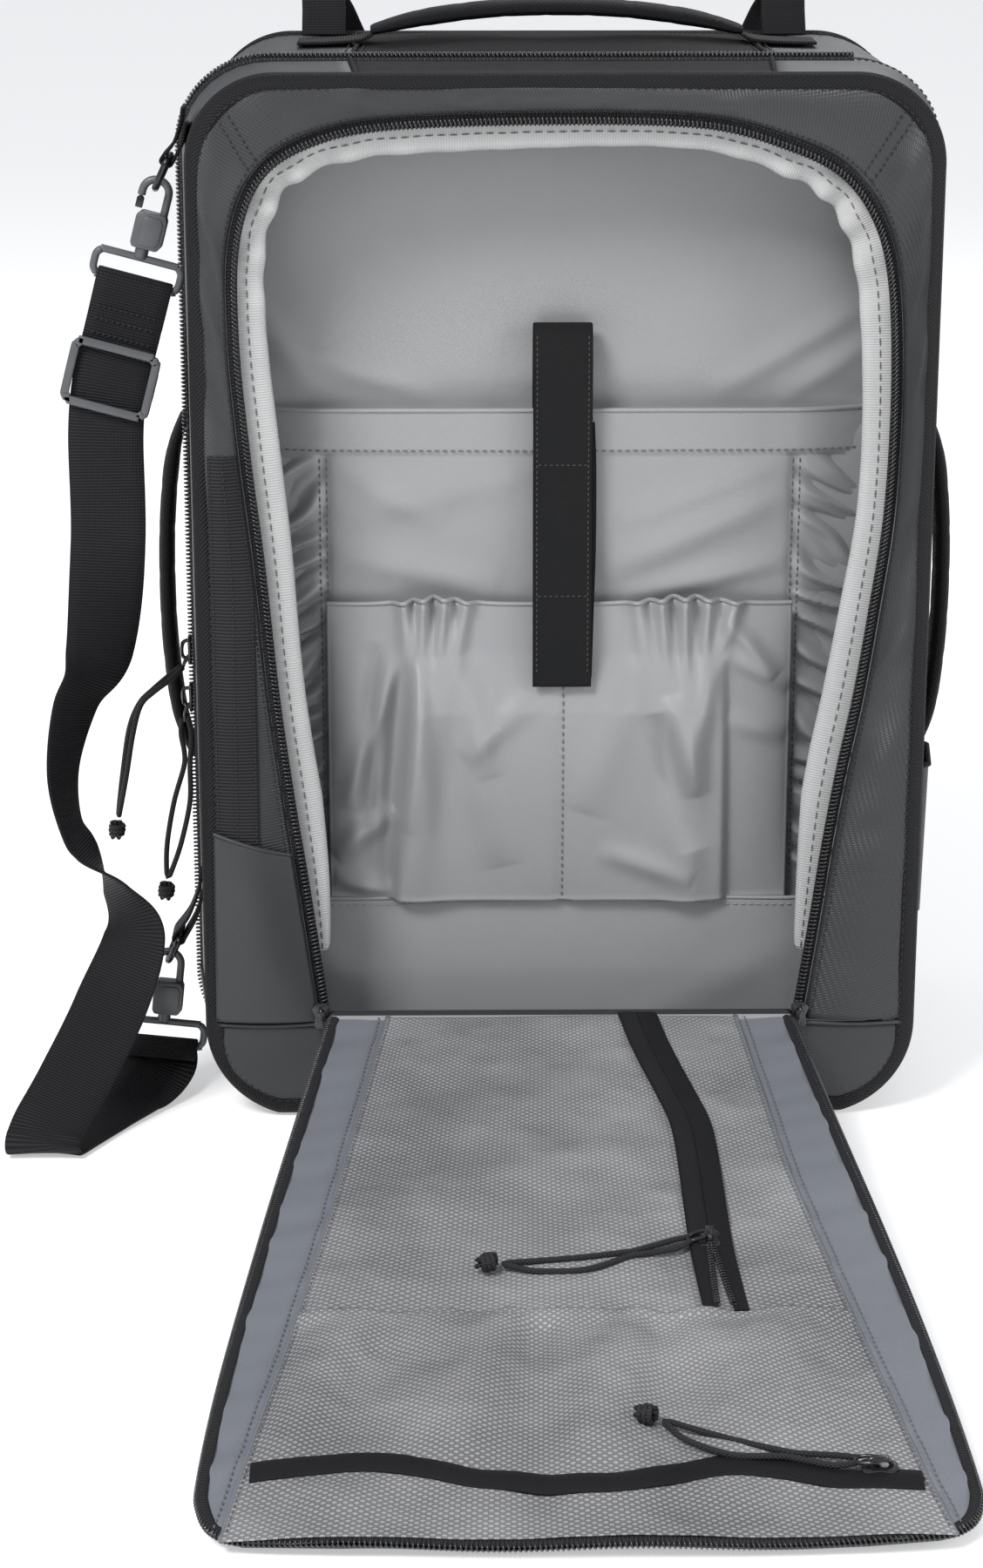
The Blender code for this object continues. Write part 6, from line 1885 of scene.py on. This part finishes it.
ribbed = twill("handle_twill", (0.003, 0.003, 0.0035), (0.015, 0.015, 0.017), 0.68, 0.0024, 0.0005,
               specular_ior_level=0.25)
y = 0.050
top_points = [(-0.0960, y, TALL + 0.0075), (-0.0700, y, TALL + 0.0135), (-0.0350, y, TALL + 0.0180),
              (0.0, y, TALL + 0.0192),
              (0.0350, y, TALL + 0.0180), (0.0700, y, TALL + 0.0135), (0.0960, y, TALL + 0.0075)]
top_line = padded_grip("top_handle_grip", top_points, (0, 1, 0), 0.0270, 0.0086, ribbed, 9, "top_handle",
                       ("top_handle",))
edge = [top_line[8:142] + [0, side * 0.0112, 0.0022] for side in (-1, 1)]
dress(stitched("top_handle_stitching", edge, thread_black), "top_handle")
for sign, side in ((-1, "left"), (1, "right")):
    y = 0.030
    points = [(sign * 0.1965, y, 0.1580), (sign * 0.2030, y, 0.1800), (sign * 0.2068, y, 0.2150),
              (sign * 0.2078, y, 0.2500),
              (sign * 0.2068, y, 0.2850), (sign * 0.2030, y, 0.3200), (sign * 0.1965, y, 0.3420)]
    line = padded_grip("side_handle_%s_grip" % side, points, (0, 1, 0), 0.0270, 0.0082, ribbed, 8,
                       "side_handle_" + side,
                       ("side_handle_" + side,))
    edge = [line[10:140] + [sign * 0.0020, shift, 0] for shift in (-0.0112, 0.0112)]
    dress(stitched("side_handle_%s_stitching" % side, edge, thread_black), "side_handle_" + side)
    for end, z, run in (("low", 0.1580, -1), ("high", 0.3420, 1)):
        share = share_at(z + run * 0.012, sign)
        wall = on_wall(np.array([share_at(z + run * step, sign) for step in (0.034, 0.020, 0.008)]),
                       np.full(3, y), 0.0016)
        path = [*wall, (sign * 0.1945, y, z + run * 0.0016), (sign * 0.1968, y, z - run * 0.0030)]
        strip_line = through(path, 24)
        patch = swept("side_handle_%s_anchor_%s" % (side, end), strip_line, ribbon(0.0280, 0.0016), webbing,
                      sides=np.tile([0, 1.0, 0], (24, 1)))
        dress(patch, "rear_section")
for sign, side in ((-1, "left"), (1, "right")):
    path = [(sign * 0.1340, 0.050, TALL + 0.0015), (sign * 0.1150, 0.050, TALL + 0.0020),
            (sign * 0.1010, 0.050, TALL + 0.0034),
            (sign * 0.0950, 0.050, TALL + 0.0062)]
    patch = swept("top_handle_anchor_" + side, through(path, 24), ribbon(0.0280, 0.0016), webbing,
                  sides=np.tile([0, 1.0, 0], (24, 1)))
    dress(patch, "rear_section")

# ---------------------------------------------------------------- shoulder straps
# Curved foam pads faced in mesh and bound at the edge, with ladder locks, tail webbing below, and
# load lifters that stand up over the top edge of the bag.

STRAP_NEAR = edge_of("shoulder_strap_left", 0, 1)
CENTRE = ((0.4720, 0.0630, 0.0300), (0.4300, 0.0690, 0.0300), (0.3800, 0.0790, 0.0310),
          (0.3200, 0.0920, 0.0330), (0.2600, 0.1060, 0.0320),
          (0.2000, 0.1200, 0.0230), (0.1600, 0.1240, 0.0190), (0.1250, 0.1250, 0.0170))
strap_centre = through([(x, z) for z, x, half in CENTRE], 300)
heights = np.array([row[0] for row in CENTRE])[::-1]
halves = np.array([row[2] for row in CENTRE])[::-1]
for sign, side in ((-1, "left"), (1, "right")):
    body = "shoulder_strap_" + side

    def strap_surface(u, v):
        middle_x = np.interp(u, np.linspace(0, 1, 300), strap_centre[:, 0])
        middle_z = np.interp(u, np.linspace(0, 1, 300), strap_centre[:, 1])
        end = np.clip(1 - np.minimum(u, 1 - u) / 0.045, 0, 1)
        half = np.interp(middle_z, heights, halves) * np.sqrt(1 - 0.45 * end ** 2)
        angle = v * 2 * math.pi
        c, s = np.cos(angle), np.sin(angle)
        x = np.sign(c) * np.abs(c) ** 0.6 * half
        ribs = 1.0 - 0.10 * np.exp(-((np.abs(x) - half * 0.72) / 0.002) ** 2)
        y = STRAP_NEAR + 0.0060 + np.sign(s) * np.abs(s) ** 0.55 * 0.0058 * ribs * (1 - 0.35 * end ** 2)
        return np.stack([sign * (middle_x + x), y, middle_z + 0 * x], axis=-1)

    strap_pad = laid("shoulder_strap_%s_pad" % side, 160, 40, strap_surface, foam, rolled="v")
    dress(strap_pad, body, (body,))
    u = np.linspace(0.04, 0.96, 260)
    edges = [strap_surface(u, 0 * u + turn) for turn in (0.0, 0.5)]
    for label, line in zip(("outer", "inner"), edges):
        dress(swept("shoulder_strap_%s_binding_%s" % (side, label), line,
                    [(-0.0018, -0.0030), (0.0018, -0.0030), (0.0022, 0.0),
              (0.0018, 0.0030), (-0.0018, 0.0030), (-0.0022, 0.0)], grosgrain,
              sides=np.tile([1.0, 0, 0], (260, 1))), body)
    spine = through([(sign * 0.064, STRAP_NEAR + 0.0121, 0.455),
                     (sign * 0.080, STRAP_NEAR + 0.0121, 0.380), (sign * 0.106, STRAP_NEAR + 0.0121, 0.262),
                     (sign * 0.1235, STRAP_NEAR + 0.0121, 0.165),
                     (sign * 0.1250, STRAP_NEAR + 0.0100, 0.118),
                     (sign * 0.1250, STRAP_NEAR + 0.0050, 0.1120)], 120)
    dress(swept("shoulder_strap_%s_spine" % side, spine, ribbon(0.0220, 0.0014), webbing,
                sides=np.tile([1.0, 0, 0], (120, 1))), body)
    middle_y = STRAP_NEAR + 0.0050
    place = Matrix.Translation((sign * 0.125, middle_y, 0.1105))
    pieces = [moulding("cheek", ((x - 0.0018, -0.0140), (x + 0.0018, -0.0140), (x + 0.0018, 0.0140),
                                 (x - 0.0018, 0.0140)), -0.003, 0.003, glossy, place)
              for x in (-0.0132, 0.0132)]
    for low, high, front in ((-0.0140, -0.0094, -0.0030), (-0.0050, 0.0010, -0.0014),
                             (0.0052, 0.0140, -0.0030)):
        pieces.append(moulding("bar", ((-0.0132, low), (0.0132, low), (0.0132, high), (-0.0132, high)),
                               front, front + 0.0052, glossy, place, 0.0009))
    dress(joined(pieces, "ladder_lock_%s_frame" % side), body, ("ladder_lock_" + side,))
    tail = through([(sign * 0.1250, STRAP_NEAR + 0.0072, 0.1080),
                    (sign * 0.1262, STRAP_NEAR + 0.0055, 0.0940),
                    (sign * 0.1300, STRAP_NEAR + 0.0080, 0.0820),
                    (sign * 0.1370, STRAP_NEAR + 0.0070, 0.0600),
                    (sign * 0.1440, STRAP_NEAR + 0.0010, 0.0400)], 70)
    tilt = np.linspace(0.0, sign * 0.30, 70)
    tail_piece = swept("strap_webbing_%s_tail" % side, tail, ribbon(0.0220, 0.0016), webbing,
                       sides=np.stack([np.ones(70), np.zeros(70), tilt], axis=1))
    dress(tail_piece, body, ("strap_webbing_" + side,))
    x = sign * 0.1220
    lifter = [(x, 0.0900, TALL + 0.0012), (x, 0.0985, TALL + 0.0120), (x, 0.1080, TALL + 0.0205),
              (x * 0.97, 0.1190, TALL + 0.0120),
              (x * 0.90, 0.1260, TALL - 0.0080), (x * 0.80, 0.1285, TALL - 0.0270),
              (x * 0.71, 0.1285, TALL - 0.0420)]
    tilt = np.linspace(0.0, sign * 0.25, 110)
    piece = swept("load_lifter_%s_webbing" % side, through(lifter, 110), ribbon(0.0235, 0.0016), webbing,
                  sides=np.stack([np.ones(110), np.zeros(110), tilt], axis=1))
    dress(piece, "rear_section", ("load_lifter_" + side,))
